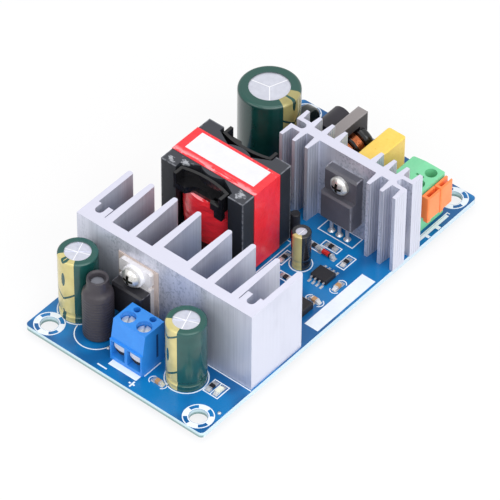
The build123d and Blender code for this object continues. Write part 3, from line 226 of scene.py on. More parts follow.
# %% Ink and coat
def ink(code):
    """A screen colour such as 0x1B86CC as the linear colour that a socket wants."""
    parts = [(code >> shift & 255) / 255 for shift in (16, 8, 0)]
    linear = [p / 12.92 if p < 0.04045 else ((p + 0.055) / 1.055) ** 2.4 for p in parts]
    return (*linear, 1.0)


def coat(finish, *names):
    """Puts a finish on CAD solids, in place of the one that they came with."""
    for name in names:
        mesh_object = nodes[name]
        if not mesh_object.material_slots:
            mesh_object.data.materials.append(finish.material)
        for material_slot in mesh_object.material_slots:
            material_slot.material = finish.material


example = 0x1B86CC
print("the screen colour", hex(example), "is", [round(part, 3) for part in ink(example)])

# %% [markdown]
# ## The white floor
#
# The module stands on plain white paper, as in a shop's light tent. Paper that is only lit
# varies in brightness with its distance from the lamps. So the floor also glows for the camera
# and for mirror rays. For all other light it stays ordinary paper, and the soft shadow under the
# board stays too.

# %% White floor
floor_size = 3.0
bpy.ops.mesh.primitive_plane_add(size=floor_size)
floor = bpy.context.object
floor.name = "floor"
paper = Finish("floor_paper", base_color=(0.86, 0.86, 0.87, 1), roughness=0.9)
CAMERA_RAY, GLOSSY_RAY = 0, 3
camera_ray, glossy_ray = (paper.node("ShaderNodeLightPath", output=n) for n in (CAMERA_RAY, GLOSSY_RAY))
white_to_camera, white_in_mirrors = 0.82, 0.7
glow = paper.node("ShaderNodeEmission", {}, {"Color": (1, 1, 1, 1), "Strength": 1.0})
shaded = paper.node("ShaderNodeMixShader", {},
                    [camera_ray * white_to_camera + glossy_ray * white_in_mirrors,
                     Wire(paper, paper.shader.outputs[0]), glow])
paper.feed(paper.tree.nodes["Material Output"].inputs[0], shaded)
floor.data.materials.append(paper.material)
print("a floor", floor_size, "m wide")

# %% [markdown]
# ## The world
#
# The walls of a light tent show in every bright metal part. The world stands for them: it is
# white to the camera, to mirror rays and through clear pieces, but dimmer as a light, so that
# colours come out about as they are written.

# %% World
world = bpy.data.worlds.new("tent")
bpy.context.scene.world = world
world.use_nodes = True
world_tree = world.node_tree
ray = world_tree.nodes.new("ShaderNodeLightPath")
seen = [ray.outputs[n] for n in ("Is Camera Ray", "Is Glossy Ray", "Is Transmission Ray")]
for first, second in ((0, 1), (0, 2)):
    both = world_tree.nodes.new("ShaderNodeMath")
    both.operation = "MAXIMUM"
    world_tree.links.new(seen[first], both.inputs[0])
    world_tree.links.new(seen[second], both.inputs[1])
    seen[0] = both.outputs[0]
tent_strength, tent_seen = 0.6, 1.0
TO_MIN, TO_MAX = 3, 4
level_of_white = world_tree.nodes.new("ShaderNodeMapRange")
level_of_white.inputs[TO_MIN].default_value = tent_strength
level_of_white.inputs[TO_MAX].default_value = tent_seen
world_tree.links.new(seen[0], level_of_white.inputs[0])
world_tree.links.new(level_of_white.outputs[0], world_tree.nodes["Background"].inputs["Strength"])
world_tree.nodes["Background"].inputs["Color"].default_value = (1, 1, 1, 1)
print("world at", tent_strength, "as a light and at", tent_seen, "where it is seen")

# %% [markdown]
# ## Lamps
#
# Four large square lamps light the object. Their size makes the shadows soft, and their places
# decide which flank of the heatsinks is bright. Each is given by its direction, its distance,
# its size and its power, and is turned towards the middle of the stage.

# %% Lamps
lamps = [("overhead", -40, 84, 0.8, 0.6, 1.6), ("left_tent", -110, 34, 0.9, 0.6, 1.6),
         ("right_tent", -8, 36, 0.9, 0.6, 3.2), ("front_tent", -50, 38, 1.0, 0.7, 3.4)]
for name, azimuth, elevation, distance, size, power in lamps:
    lamp = bpy.data.objects.new(name, bpy.data.lights.new(name, "AREA"))
    lamp.data.shape, lamp.data.size, lamp.data.energy = "SQUARE", size, power
    a, e = math.radians(azimuth), math.radians(elevation)
    away = Vector((math.sin(a) * math.cos(e), -math.cos(a) * math.cos(e), math.sin(e)))
    lamp.location = away * distance
    lamp.rotation_euler = away.to_track_quat("Z", "Y").to_euler()
    bpy.context.scene.collection.objects.link(lamp)
print(len(lamps), "lamps")

# %% [markdown]
# ## Extruded aluminium
#
# The heatsinks are sawn from extruded bars. The die leaves long fine lines along the extrusion
# and small ribs on the fins, and the saw leaves a brighter face with crosswise scratches on the
# cut ends. Ribs as real geometry would be thousands of thin faces. A sine wave in the relief
# shows them as well, and the same wave darkens the rib valleys in the colour, which is painted
# shade. Noise that is stretched along one axis gives the lines.

# %% Extruded aluminium
dull_wall, bright_wall, rib_valley_painted_shade, end_painted_light = 0xB4B7C6, 0xDCDEEA, 0xAEB4C4, 0xD6D9E8
handling_marks, sawn_face = 0x66778A, 0xD6D6E6


def extrusion(name, node, web_centre, web_half, rib_pitch, rib_depth):
    """Extruded aluminium whose fins leave the web at web_half and carry fine ribs."""
    made = Finish(name, metallic=0.55)
    die = made.clouds(2.6, 3.0, (1, 1, 0.02))
    smudge = made.clouds(0.12, 3.0, (1, 1, 0.4)).ramp(0.5, 0.75)
    saw = made.clouds(5.0, 2.0, (0.06, 1, 1))
    sawn = made.square_to(2, 0.7)
    reach = abs(made.place.part(0) - web_centre) - web_half
    across = made.square_to(1)
    fin = reach.ramp(0.3, 0.5) * across
    outer_fin = 2.4
    outside = made.place.part(1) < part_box(node)[0][1] / MM + outer_fin
    end = across * (1 - fin * (1 - outside))
    wave = made.maths("SINE", reach * (2 * math.pi / rib_pitch))
    scratch = die * (1 - sawn) + saw * sawn
    wall = made.mixed(ink(dull_wall), ink(bright_wall), die * (1 - smudge * 0.6))
    # The rib wave also paints shade into the colour of the rib valleys.
    painted_valley_shade = (0.5 - wave * 0.5) * fin * min(1.0, rib_depth * 4) * (1 - outside)
    wall = made.mixed(wall, ink(rib_valley_painted_shade), painted_valley_shade * 0.8)
    # Faces that look along the bar at its ends, and fin faces near its outer end, are painted lighter:
    # painted light.
    wall = made.mixed(wall, ink(end_painted_light), end * (1 - smudge * 0.3))
    touched = made.clouds(0.07, 2.0, (1, 1, 0.6)).ramp(0.44, 0.6)
    speck = made.clouds(1.6, 8.0, (1, 1, 0.8)).ramp(0.5, 0.62) * touched
    wall = made.mixed(wall, ink(handling_marks), speck * made.square_to(0) * 0.4)
    made.set(base_color=made.mixed(wall, ink(sawn_face), sawn),
             roughness=0.32 + scratch * 0.16 + smudge * 0.14,
             normal=made.bump(scratch * 0.1 + wave * fin * rib_depth, 0.12))
    coat(made, node)


extrusion("output_extrusion", "output_heatsink", web_centre=-33.2, web_half=1.5, rib_pitch=1.3,
          rib_depth=0.03)
extrusion("input_extrusion", "input_heatsink", web_centre=24.65, web_half=1.4, rib_pitch=0.85,
          rib_depth=0.5)
print("two extruded heatsinks")

# %% [markdown]
# ## Tin, nickel and solder
#
# Leads are tinned, clamps and their screws are nickel plated, and solder is itself mostly tin.
# All are bright metals with a faint grain, so one function makes them from two colours, a
# roughness and a relief. A metallic share below 1 keeps small parts from turning black where
# they mirror dark neighbours.

# %% Tin, nickel and solder
def bright_metal(name, dark, light, roughness, relief, metallic=1.0):
    """A plated or soldered metal of two colours."""
    made = Finish(name, metallic=metallic)
    grain = made.clouds(1.7, 3.0)
    made.set(base_color=made.mixed(ink(dark), ink(light), grain),
             roughness=grain * 0.2 + roughness, normal=made.bump(grain, relief))
    return made


tin = bright_metal("tinned_leads", 0xA4A4AA, 0xE4E4E8, 0.24, 0.02, 0.6)
nickel = bright_metal("nickel_plate", 0xB8BABC, 0xEAEEF0, 0.22, 0.02, 0.7)
bright_tab = bright_metal("tinned_tab", 0xD2D0D2, 0xEFEDEF, 0.3, 0.01, 0.35)
solder = bright_metal("bright_solder", 0xA8AAAE, 0xE6E7EA, 0.2, 0.03, 0.6)
coat(bright_tab, "rectifier_tab")
coat(tin, "heatsink_pins", "rectifier_leads", "switch_leads", "transformer_pins",
     "capacitor_leads", "dc_contacts", "terminal_pins", "wire_leads", "chip_leads")
coat(nickel, "dc_clamp_1", "dc_clamp_2", "dc_screw_1", "dc_screw_2")
coat(solder, "solder_joints", "metal_end_caps")
print(len(bpy.data.materials), "materials with the bright metals")

# %% [markdown]
# ## Screws with a cross recess
#
# A pan-head screw clamps each power device to its heatsink. Hardly any light reaches the bottom
# of its cross recess. The solid has the recess already, but it is small. Two crossed bands of
# dark colour on the head make it readable from afar without a change of shape.

# %% Recessed screws
def recessed_screw(node, centre_y, centre_z):
    """A nickel screw with a dark cross recess in the head, which faces the output end."""
    made = Finish(node + "_nickel", metallic=0.75)
    grain = made.clouds(1.7, 3.0)
    y, z = made.place.part(1) - centre_y, made.place.part(2) - centre_z
    slot_half, reach_squared = 0.4, 2.3
    cross = ((abs(y) < slot_half) + (abs(z) < slot_half)) > 0.5
    inside = ((y * y + z * z) < reach_squared) * (made.facing(0) < 0.5)
    plain = made.mixed(ink(0xB4B2AE), ink(0xE2E1DE), grain)
    made.set(base_color=made.mixed(plain, ink(0x34362E), cross * inside),
             roughness=grain * 0.2 + 0.2, normal=made.bump(grain, 0.02))
    coat(made, node)


recessed_screw("rectifier_screw", 7.5, 21.2)
recessed_screw("switch_screw", -10.45, 20.9)
print("two recessed screws")

# %% [markdown]
# ## Moulded plastics
#
# A moulding is one colour with a slight cloudiness, a faint orange-peel skin and a sheen that
# varies a little. One function makes them all from two colours, a roughness and the size of the
# skin. Handling and flash leave the edges paler, and a rounded edge catches more light than the
# flat faces. A second function paints both where two outer planes meet: partly wear, partly a
# painted highlight.

# %% Moulding and its worn and highlit edges
def moulded(name, dark, light, roughness, skin=1.2, relief=0.015, gloss=0.5):
    """A moulding of two colours; gloss 0.5 is plain plastic and less is a duller skin."""
    made = Finish(name, specular_ior_level=gloss)
    grain = made.clouds(skin, 3.0)
    made.body = made.mixed(ink(dark), ink(light), made.clouds(0.22, 2.0) * 0.6 + grain * 0.4)
    sheen_swing = 0.14
    made.set(base_color=made.body, roughness=roughness + grain * sheen_swing - sheen_swing / 2,
             normal=made.bump(grain, relief))
    return made


def repaint(made, code, share):
    """Lays another colour over a moulding, as strong as the share says."""
    made.body = made.mixed(made.body, ink(code), share)
    made.set(base_color=made.body)


def edges_worn_and_highlit(made, names, light, width=0.3, share=0.8):
    """Lightens a boxy group of solids where two outer planes meet: handling wear and a painted highlight.
    """
    boxes = [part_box(name) for name in names]
    near = []
    for k in range(3):
        low, high = min(box[0][k] for box in boxes) / MM, max(box[1][k] for box in boxes) / MM
        centre, half = (low + high) / 2, (high - low) / 2
        near.append(abs(made.place.part(k) - centre).ramp(half - width, half - width / 3))
    edges = near[0] * near[1] + near[1] * near[2] + near[2] * near[0]
    patchy = made.clouds(0.9, 3.0).ramp(0.3, 0.6)
    repaint(made, light, (edges > 0.3) * patchy * share)

# %% [markdown]
# ## Epoxy bodies and ferrite cores
#
# The chips and the two power devices are moulded in a dark filled epoxy. Ferrite is a pressed and
# fired powder, so it gets a coarser grain and a stronger relief. Its upper faces are painted paler,
# which is painted light from above, and the transformer's top carries chalky smears. A few round
# patches place the smears, and noise breaks the patches up, so that no round edge is left.

# %% Epoxy and ferrite
epoxy = moulded("moulded_epoxy", 0x121216, 0x2C2C32, 0.46, 3.0, 0.012, 0.35)
rectifier_epoxy = moulded("rectifier_epoxy", 0x141418, 0x2C2C32, 0.4, 3.0, 0.012, 0.4)
edges_worn_and_highlit(rectifier_epoxy, ["rectifier_body"], 0x72727C, 0.28, 0.7)
# The switch body is painted a lighter grey than the other epoxies: a painted reflection of the lamps.
switch_epoxy_painted_sheen = moulded("switch_epoxy_painted_reflection", 0x35353C, 0x60606A, 0.42, 3.0, 0.02, 0.5)
edges_worn_and_highlit(switch_epoxy_painted_sheen, ["switch_body"], 0x9A9AA4, 0.4)
ferrite = moulded("fired_ferrite", 0x15181D, 0x2A2D34, 0.5, 1.6, 0.03, 0.35)
# The upward faces of the core are painted paler: painted light from above.
repaint(ferrite, 0x3B3D44, ferrite.upward() * 0.8)
edges_worn_and_highlit(ferrite, ["transformer_core_upper", "transformer_core_lower"], 0x8A8D95, 0.35, 0.7)
smear_places = [(-4.9, 0.5, 2.4), (-4.2, 18.3, 2.4), (-5.8, 21.6, 1.7)]
core_top_from = BOARD_TOP + 24.8
patches = ferrite.place.part(2) * 0
for centre_x, centre_y, spread in smear_places:
    x, y = ferrite.place.part(0) - centre_x, ferrite.place.part(1) - centre_y
    patches = patches + (1 - (x * x + y * y).ramp(0.0, spread * spread))
smear = (ferrite.clouds(0.8, 8.0, (1, 0.6, 1)) + patches * 0.13).ramp(0.58, 0.66)
smear = smear * patches.ramp(0.0, 0.2) * (ferrite.place.part(2) > core_top_from)
strokes = ferrite.clouds(1.5, 5.0, (1, 0.5, 1)).ramp(0.4, 0.56)
repaint(ferrite, 0xB4B7BE, smear * (strokes * 0.65 + 0.15))
line_ferrite = moulded("line_core_painted_top_light", 0x26262B, 0x403E42, 0.5, 1.6, 0.02, 0.35)
# The upward faces of the line choke's core are painted paler: painted light from above.
repaint(line_ferrite, 0x8C8686, line_ferrite.upward())
edges_worn_and_highlit(line_ferrite, ["line_choke_core"], 0x9A9698, 0.35, 0.6)
grey_ferrite = moulded("ground_ferrite", 0x6C6E78, 0x8A8C96, 0.45, 1.6, 0.02)
coat(switch_epoxy_painted_sheen, "switch_body")
coat(rectifier_epoxy, "rectifier_body")
coat(epoxy, "controller_chip", "optocoupler", "bridge_rectifier", "small_choke", "chip_resistors")
coat(ferrite, "transformer_core_lower", "transformer_core_upper")
coat(line_ferrite, "line_choke_core")
coat(grey_ferrite, "choke_rod")
print(len(bpy.data.materials), "materials with the epoxies and ferrites")

# %% [markdown]
# ## Bobbins, housings and the small cases
#
# The bobbins are glossy phenolic and the terminal housings are dyed nylon. The small parts are
# glass, fired ceramic, dipped lacquer or potted plastic. The same moulding function serves for
# all of them, since only colour, gloss and skin differ. The glass diode's dark end marks its
# cathode, and the transformer's label is a plain pale film.

# %% Plastics, glass and ceramic
phenolic = moulded("moulded_phenolic", 0x08080A, 0x141418, 0.14, 0.8, 0.12, 0.5)
nylon = moulded("white_nylon", 0xE2E2E8, 0xF6F6FA, 0.35)
pad_grey = moulded("silicone_pad", 0xA89890, 0xCDBFB8, 0.6)
coat(phenolic, "transformer_bobbin", "line_choke_bobbin")
coat(nylon, "rectifier_bushing")
coat(pad_grey, "rectifier_pad")
coat(moulded("blue_terminal", 0x1A74D0, 0x3692E8, 0.34), "dc_terminal_housing")
coat(moulded("green_terminal", 0x66C78F, 0x8CDCAE, 0.38), "ac_terminal_housing")
orange = moulded("orange_lever", 0xFF7430, 0xFF9A5C, 0.36)
coat(moulded("yellow_case", 0xF2C03A, 0xFFE27C, 0.3), "filter_capacitor")
coat(moulded("fuse_case", 0x1D1B22, 0x34313A, 0.4, gloss=0.4), "fuse")
coat(moulded("dipped_lacquer", 0x0C1210, 0x1E2826, 0.2, 0.7, 0.06), "thermistor")
coat(moulded("fired_ceramic", 0xA07850, 0xC8A078, 0.45), "chip_capacitors")
red_glass = moulded("red_glass", 0xA81C20, 0xD8362C, 0.12)
cathode_from = -13.6
repaint(red_glass, 0x241C22, red_glass.place.part(1) < cathode_from)
coat(red_glass, "glass_diode")
coat(moulded("lamp_resin", 0xDCDCC8, 0xF4F4E6, 0.25), "indicator_lamp")
coat(moulded("blank_label", 0xD8D8DE, 0xEAEAEF, 0.42), "transformer_label")
print(len(bpy.data.materials), "materials with the plastics, glass and ceramic")

# %% [markdown]
# ## Tape
#
# Red polyester tape holds the core and covers the winding. It is glossy and never lies quite
# flat. Modelled wrinkles would have to follow the core's corners, so a broad relief in the
# shader gives them instead, under a clear coat.

# %% Tape
def tape(name, relief, stretch):
    """Red film with pale bubbles, and streaks of painted reflection, towards the edges of its top."""
    made = Finish(name, coat_weight=0.25, coat_roughness=0.1, roughness=0.34, specular_ior_level=0.4)
    wrinkle = made.clouds(0.3, 4.0, stretch)
    bubble = made.clouds(1.3, 3.0).ramp(0.62, 0.7)
    # Near the edges of the top, pale bubbles and pale streaks are mixed in; the streaks are a painted
    # reflection.
    tape_middle, sheen_streaks_below = 1.9, -1.2
    edge = abs(made.place.part(0) - tape_middle).ramp(3.0, 4.3)
    sheen_streak = made.clouds(0.9, 4.0, (1, 0.3, 1)).ramp(0.44, 0.56) * (made.place.part(0) < sheen_streaks_below)
    bubbles_and_painted_sheen = (bubble * edge + sheen_streak * edge) * made.upward(0.5)
    red = made.mixed(ink(0xDA1E2A), ink(0xFC343E), wrinkle)
    made.set(base_color=made.mixed(red, ink(0xFFA6AC), bubbles_and_painted_sheen * 0.75),
             normal=made.bump(wrinkle, relief))
    return made


coat(tape("red_tape", 0.5, (1, 1, 0.7)), "transformer_tape")
coat(tape("wound_tape", 1.1, (0.4, 0.4, 1.0)), "transformer_winding")
print("tape over the core and the winding")

# %% [markdown]
# ## Film on the cans
#
# The cans wear a shrunk film, dark green or nearly black, with a gold band that marks one lead.
# On the three larger cans a dark oval and a chevron repeat along the band. A picture could be
# wrapped round each can, but a formula stays sharp: an arctangent gives the angle round the
# axis, and a remainder makes the signs repeat.

# %% Film on the cans
def can_film(name, centre, radius, band_centre, band_half, green, first_tip, gold_inks, period=12.2):
    """Film with a gold band round band_centre degrees, and chevron tips from first_tip up."""
    made = Finish(name, coat_weight=0.35, coat_roughness=0.08, roughness=0.24, specular_ior_level=0.4)
    turn = math.radians(band_centre)
    x, y = made.place.part(0) - centre[0], made.place.part(1) - centre[1]
    along = x * math.cos(turn) + y * math.sin(turn)
    across = y * math.cos(turn) - x * math.sin(turn)
    angle = abs(made.maths("ARCTAN2", across, along))
    arc = angle * radius
    height = made.place.part(2) - (BOARD_TOP + first_tip)
    step = made.maths("FLOORED_MODULO", height, period)
    chevron_slope, chevron_half = 0.75, 0.35
    chevron = abs(step - arc * chevron_slope - chevron_half) < chevron_half
    oval_height, oval_length, oval_half = 6.8, 2.2, 0.6
    away = (step - oval_height) / oval_length
    side = arc / oval_half
    oval = away * away + side * side < 1.0
    band = angle < math.radians(band_half)
    gold = band * (1 - chevron) * (1 - oval) if first_tip else band
    shade = made.clouds(0.3, 2.0)
    dark = made.mixed(ink(green[0]), ink(green[1]), shade)
    # On the larger cans the film's upward faces get a lighter teal: painted light on its top.
    if first_tip:
        dark = made.mixed(dark, ink(0x0C4E44), made.upward(0.3, 0.8) * 0.6)
    gold_film = made.mixed(ink(gold_inks[0]), ink(gold_inks[1]), shade)
    made.set(base_color=made.mixed(dark, gold_film, gold), metallic=gold * 0.25)
    return made


can_places = {"output_capacitor_1": (-40.9, 21.8), "output_capacitor_2": (-41.5, -13.4),
              "bulk_capacitor": (29.3, 19.8), "small_capacitor": (6.5, -9.65)}
# The large can's band uses darker golds: painted shade, since its band lies on the side away from the
# lamps.
bright_gold, gold_in_painted_shade = (0xB7AB68, 0xD9CD92), (0x8C8450, 0xB4AB74)
sea_green, deep_green, near_black = (0x0E3C3A, 0x18514D), (0x082C2A, 0x10403C), (0x101014, 0x1E1E24)
# Radius, angle and half width of the band, film inks, lowest chevron tip, band inks
films = {"output_capacitor_1": (5.1, -185, 35, sea_green, 7.0, bright_gold),
         "output_capacitor_2": (5.1, -201, 35, sea_green, 3.8, bright_gold),
         "bulk_capacitor": (8.1, -90, 25, deep_green, 6.0, gold_in_painted_shade),
         "small_capacitor": (2.55, -170, 32, near_black, 0, bright_gold)}
for can, facts in films.items():
    coat(can_film(can + "_film", can_places[can], *facts), can + "_sleeve")
print(len(films), "cans wear their film")

# %% [markdown]
# ## Bare can tops and the wound wire
#
# A can is drawn from aluminium sheet. A press scores its top so that it can vent, and the score
# throws up a thin burr that catches the light. A burr is finer than any useful mesh, so the
# finish paints its highlight, a near-white line on the top for each arm of the score. The chokes
# are wound with enamelled copper, and a shrunk film covers the one at the output.

# %% Can tops, shrunk film and copper
def can_skin(can, arms):
    """Drawn aluminium with a painted highlight along each burr of the scored vent on its top."""
    made = Finish(can + "_drawn_can", metallic=0.7)
    centre_x, centre_y = can_places[can]
    ridge = made.clouds(1.1, 2.0)
    x, y = made.place.part(0) - centre_x, made.place.part(1) - centre_y
    burr_half, overlap = 0.11, 0.1
    burrs = []
    for arm in arms:
        turn = math.radians(arm)
        along = x * math.cos(turn) + y * math.sin(turn)
        across = y * math.cos(turn) - x * math.sin(turn)
        burrs.append((abs(across) < burr_half) * (along > -overlap))
    burr_highlights = sum(burrs[1:], burrs[0])
    shade = made.mixed(ink(0xC4C6D2), ink(0xDADCE8), ridge)
    made.set(base_color=made.mixed(shade, ink(0xF8F8FC), burr_highlights * made.upward(0.3, 0.8)),
             roughness=0.3 + ridge * 0.15, normal=made.bump(ridge, 0.02))
    coat(made, can + "_can")
    return made


bulk_skin = can_skin("bulk_capacitor", (-140, -20, 100))
can_skin("output_capacitor_1", (20, 110, 200, 290))
can_skin("output_capacitor_2", (20, 110, 200, 290))
can_skin("small_capacitor", (0, 180))

shrunk = moulded("shrunk_film", 0x2A272C, 0x423E45, 0.42, 1.4, 0.02, 0.4)
copper = bright_metal("enamelled_copper", 0x8C4A2C, 0xD98A5C, 0.2, 0.02)
coat(shrunk, "choke_sleeve")
coat(copper, "choke_winding", "line_choke_windings")
print(len(bpy.data.materials), "materials with the cans and the wire")

# %% [markdown]
# ## The board
#
# The laminate is pale glass fibre with a blue lacquer on both faces, so the colour depends on
# which way the surface faces. A cloud at the scale of copper areas makes the blue lighter over
# metal and darker over bare laminate.

# %% Board lacquer
def lacquer():
    """Blue on both faces, pale laminate in layers on the edges, and lighter on the front edge."""
    made = Finish("board_lacquer", coat_weight=0.15, coat_roughness=0.1, roughness=0.3,
                  specular_ior_level=0.4)
    flat = made.square_to(2, 0.5)
    front_edge = -28.4
    pour = made.clouds(0.09, 1.0).ramp(0.42, 0.58)
    grain = made.clouds(2.2, 2.0)
    blue = made.mixed(made.mixed(ink(0x055894), ink(0x0874B6), pour), ink(0x034C82), grain * 0.25)
    layer = made.clouds(1.0, 2.0, (0.2, 0.2, 6))
    edge = made.mixed(ink(0x7C9896), ink(0xC0D8E0), (made.place.part(2) + layer * 0.4).ramp(2.6, 3.2))
    edge = made.mixed(edge, ink(0xC4D8E4), made.place.part(1) < front_edge)
    made.set(base_color=made.mixed(edge, blue, flat), normal=made.bump(grain, 0.004))
    return made


coat(lacquer(), "circuit_board")
print("board lacquered")

# %% [markdown]
# ## Meshes for prints and pads
#
# White ink, tinned pads and similar thin layers are prisms a few hundredths of a millimetre
# thick, so they stay crisp at any distance and survive an export. One builder collects the
# prisms of a layer and makes one object of them.

# %% Layer builder
class Layer:
    """Collects faces in millimetres and makes one object of them."""

    def __init__(self):
        self.points, self.faces = [], []

    def add(self, points, faces):
        start = len(self.points)
        self.points += [tuple(p) for p in points]
        self.faces += [tuple(start + i for i in face) for face in faces]

    def prism(self, outline, low, high):
        """A flat outline, anticlockwise from above, raised from low to high."""
        count = len(outline)
        points = [(x, y, z) for z in (low, high) for x, y in outline]
        sides = [(i, (i + 1) % count, count + (i + 1) % count, count + i) for i in range(count)]
        self.add(points, [tuple(range(count))[::-1], tuple(range(count, 2 * count)), *sides])

    def box(self, x0, y0, x1, y1, low, high):
        self.prism([(x0, y0), (x1, y0), (x1, y1), (x0, y1)], low, high)

    def ring(self, x, y, inner, outer, low, high, start=0.0, sweep=360.0, steps=48):
        """A flat ring or a part of one, as a closed solid."""
        count = max(3, round(steps * sweep / 360))
        whole = sweep >= 360
        angles = [math.radians(start + sweep * i / count) for i in range(count + (not whole))]
        corners = ((inner, low), (outer, low), (outer, high), (inner, high))
        points = [(x + r * math.cos(a), y + r * math.sin(a), z) for a in angles for r, z in corners]
        faces = []
        for i in range(count):
            a, b = 4 * i, 4 * ((i + 1) % len(angles))
            faces += [(a + k, b + k, b + (k + 1) % 4, a + (k + 1) % 4) for k in range(4)]
        if not whole:
            last = 4 * (len(angles) - 1)
            faces += [(0, 1, 2, 3), (last + 3, last + 2, last + 1, last)]
        self.add(points, faces)

    def stroke(self, x0, y0, x1, y1, width, low, high):
        """A straight printed line with square ends."""
        along = Vector((x1 - x0, y1 - y0)).normalized() * (width / 2)
        across = Vector((-along.y, along.x))
        a, b = Vector((x0, y0)) - along, Vector((x1, y1)) + along
        self.prism([a - across, b - across, b + across, a + across], low, high)

    def object(self, name, finish, slot, body="board_assembly", smooth=False, replaces=()):
        mesh = bpy.data.meshes.new(name)
        mesh.from_pydata([Vector(p) * MM for p in self.points], [], self.faces)
        mesh.validate()
        mesh.materials.append(finish.material)
        if smooth:
            mesh.shade_smooth()
        made = bpy.data.objects.new(name, mesh)
        bpy.context.scene.collection.objects.link(made)
        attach(made, body)
        if replaces:
            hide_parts(*replaces)
        print(name, len(mesh.polygons), "faces")
        return made

# %% [markdown]
# ## White print
#
# White ink is screened on the lacquer: outlines and rings round the parts and the screw holes,
# solid blocks, and a sign for each output pole. An image could show it, but it would blur close
# up. Thin prisms stay crisp, and every mark is simply given by its place on the board.

# %% Places of the print
print_layer = (BOARD_TOP, BOARD_TOP + 0.03)
line_width = 0.28
blocks = [(-50.4, -4.9, -48.4, 4.1), (-9.0, -27.8, 13.5, -23.6), (31.0, -27.3, 43.6, -26.42),
          (34.0, -28.3, 34.9, -27.3), (38.0, -28.3, 39.2, -27.3)]
part_outlines = [(14.9, -14.3, 17.0, -9.2), (11.6, -19.2, 16.5, -16.85), (-0.8, -12.6, 1.4, -7.4),
                 (12.4, -10.7, 14.5, -5.9), (2.9, -6.3, 7.9, -4.1), (-42.2, -23.7, -37.6, -19.2),
                 (18.9, -16.0, 23.0, -5.0), (-6.9, -3.2, 10.7, 25.0)]
single_lines = [(-47.8, -5.45, -42.0, -5.45), (-41.9, -21.3, -37.9, -21.3),
                (-35.0, -28.2, -35.0, -13.8), (31.5, -26.2, 44.3, -26.2), (44.3, -26.9, 44.3, -26.5)]
minus_sign, minus_width = (-52.0, 3.3, -52.0, 5.9), 0.4
plus_bar, plus_width = (-52.6, -4.85, -51.0, -4.85), 0.44
plus_arms = [(-52.02, -5.65, -51.58, -5.07), (-52.02, -4.41, -51.58, -3.83)]
can_rings = [(can_places["output_capacitor_1"], 5.45, 185, 322),
             (can_places["output_capacitor_2"], 5.45, 0, 360), (can_places["bulk_capacitor"], 8.5, 0, 360),
             (can_places["small_capacitor"], 2.95, 0, 360), ((-44.5, 13.0), 5.5, 100, 296)]
bracketed_chips = [(6.15, -21.9, 0), (-1.3, -20.5, 90), (-47.3, -9.3, 90)]
hole_x, hole_y = 49.5, 24.0
hole_rings, spoke_band, spoke_sweep = ((2.42, 2.72), (3.72, 4.0)), (2.72, 3.72), 48
print(len(blocks), "blocks,", len(part_outlines), "outlines and", len(can_rings), "rings")

# %% [markdown]
# ## Drawing the print
#
# One layer takes all the marks, so they make one object. The strokes of an outline or a sign are
# cut so that they do not overlap, because two faces at the same height would show as blotches.

# %% Board print
marks = Layer()
for hole in ((x, y) for x in (-hole_x, hole_x) for y in (-hole_y, hole_y)):
    for inner, outer in hole_rings:
        marks.ring(*hole, inner, outer, *print_layer)
    for start in (-10, 80, 170, 260):
        marks.ring(*hole, *spoke_band, *print_layer, start, spoke_sweep)
for corners in blocks + plus_arms:
    marks.box(*corners, *print_layer)
marks.stroke(*minus_sign, minus_width, *print_layer)
marks.stroke(*plus_bar, plus_width, *print_layer)
for ends in single_lines:
    marks.stroke(*ends, line_width, *print_layer)
half = line_width / 2
for x0, y0, x1, y1 in part_outlines:
    for y in (y0, y1):
        marks.box(x0 - half, y - half, x1 + half, y + half, *print_layer)
    for x in (x0, x1):
        marks.box(x - half, y0 + half, x + half, y1 - half, *print_layer)
for place, radius, start, sweep in can_rings:
    marks.ring(*place, radius - half, radius + half, *print_layer, start, sweep)
bracket_shift, bracket_inner, bracket_outer, bracket_sweep = 1.3, 1.15, 1.38, 150
for x, y, turn in bracketed_chips:
    for side in (turn, turn + 180):
        away = math.radians(side)
        marks.ring(x + bracket_shift * math.cos(away), y + bracket_shift * math.sin(away), bracket_inner,
                   bracket_outer, *print_layer, side - bracket_sweep / 2, bracket_sweep)
white_ink = moulded("white_ink", 0xD6E0EC, 0xEEF4FC, 0.5)
marks.object("board_print", white_ink, "white_label")

# %% [markdown]
# ## Spinning a profile
#
# Coils, cans and cones of solder are all round. Blender's Screw modifier could turn them. Here a
# short function spins a closed profile instead: the points are exact, the mesh is closed, and no
# modifier is left to apply.

# %% Spinning and measuring
def spun(layer, profile, centre, axis, steps=64):
    """Spins (distance along the axis, radius) points, a closed outline, round an axis."""
    count = len(profile)
    points = []
    for i in range(steps):
        a = 2 * math.pi * i / steps
        for along, radius in profile:
            u, v = radius * math.cos(a), radius * math.sin(a)
            offset = (along, u, v) if axis == 0 else (u, v, along)
            points.append([middle + way for middle, way in zip(centre, offset)])
    faces = [(i * count + k, i * count + (k + 1) % count,
              (i + 1) % steps * count + (k + 1) % count, (i + 1) % steps * count + k)
             for i in range(steps) for k in range(count)]
    layer.add(points, faces if axis == 2 else [face[::-1] for face in faces])


def arches(start, end, turns, radius, rise, fine=6):
    """Points along one row of wound turns, each a half round of that rise."""
    width = (end - start) / turns
    return [(start + width * (t + k / fine), radius + rise * math.sin(math.pi * k / fine))
            for t in range(turns) for k in range(fine)] + [(end, radius)]


def middle_of(node):
    """The middle of a solid's box, in millimetres."""
    low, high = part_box(node)
    return [(a + b) / 2 / MM for a, b in zip(low, high)]


line_centre = middle_of("line_choke_windings")
print("line choke round", [round(value, 2) for value in line_centre])

# %% [markdown]
# ## Line choke
#
# The line choke shows bare enamelled turns between the flanges of its bobbin. A helix of wire
# would need a very long mesh. A profile with one small arch for each turn, spun round the axis,
# gives the same relief. The flange at the outer end is thick with a round rim, and it is spun
# in the same way.

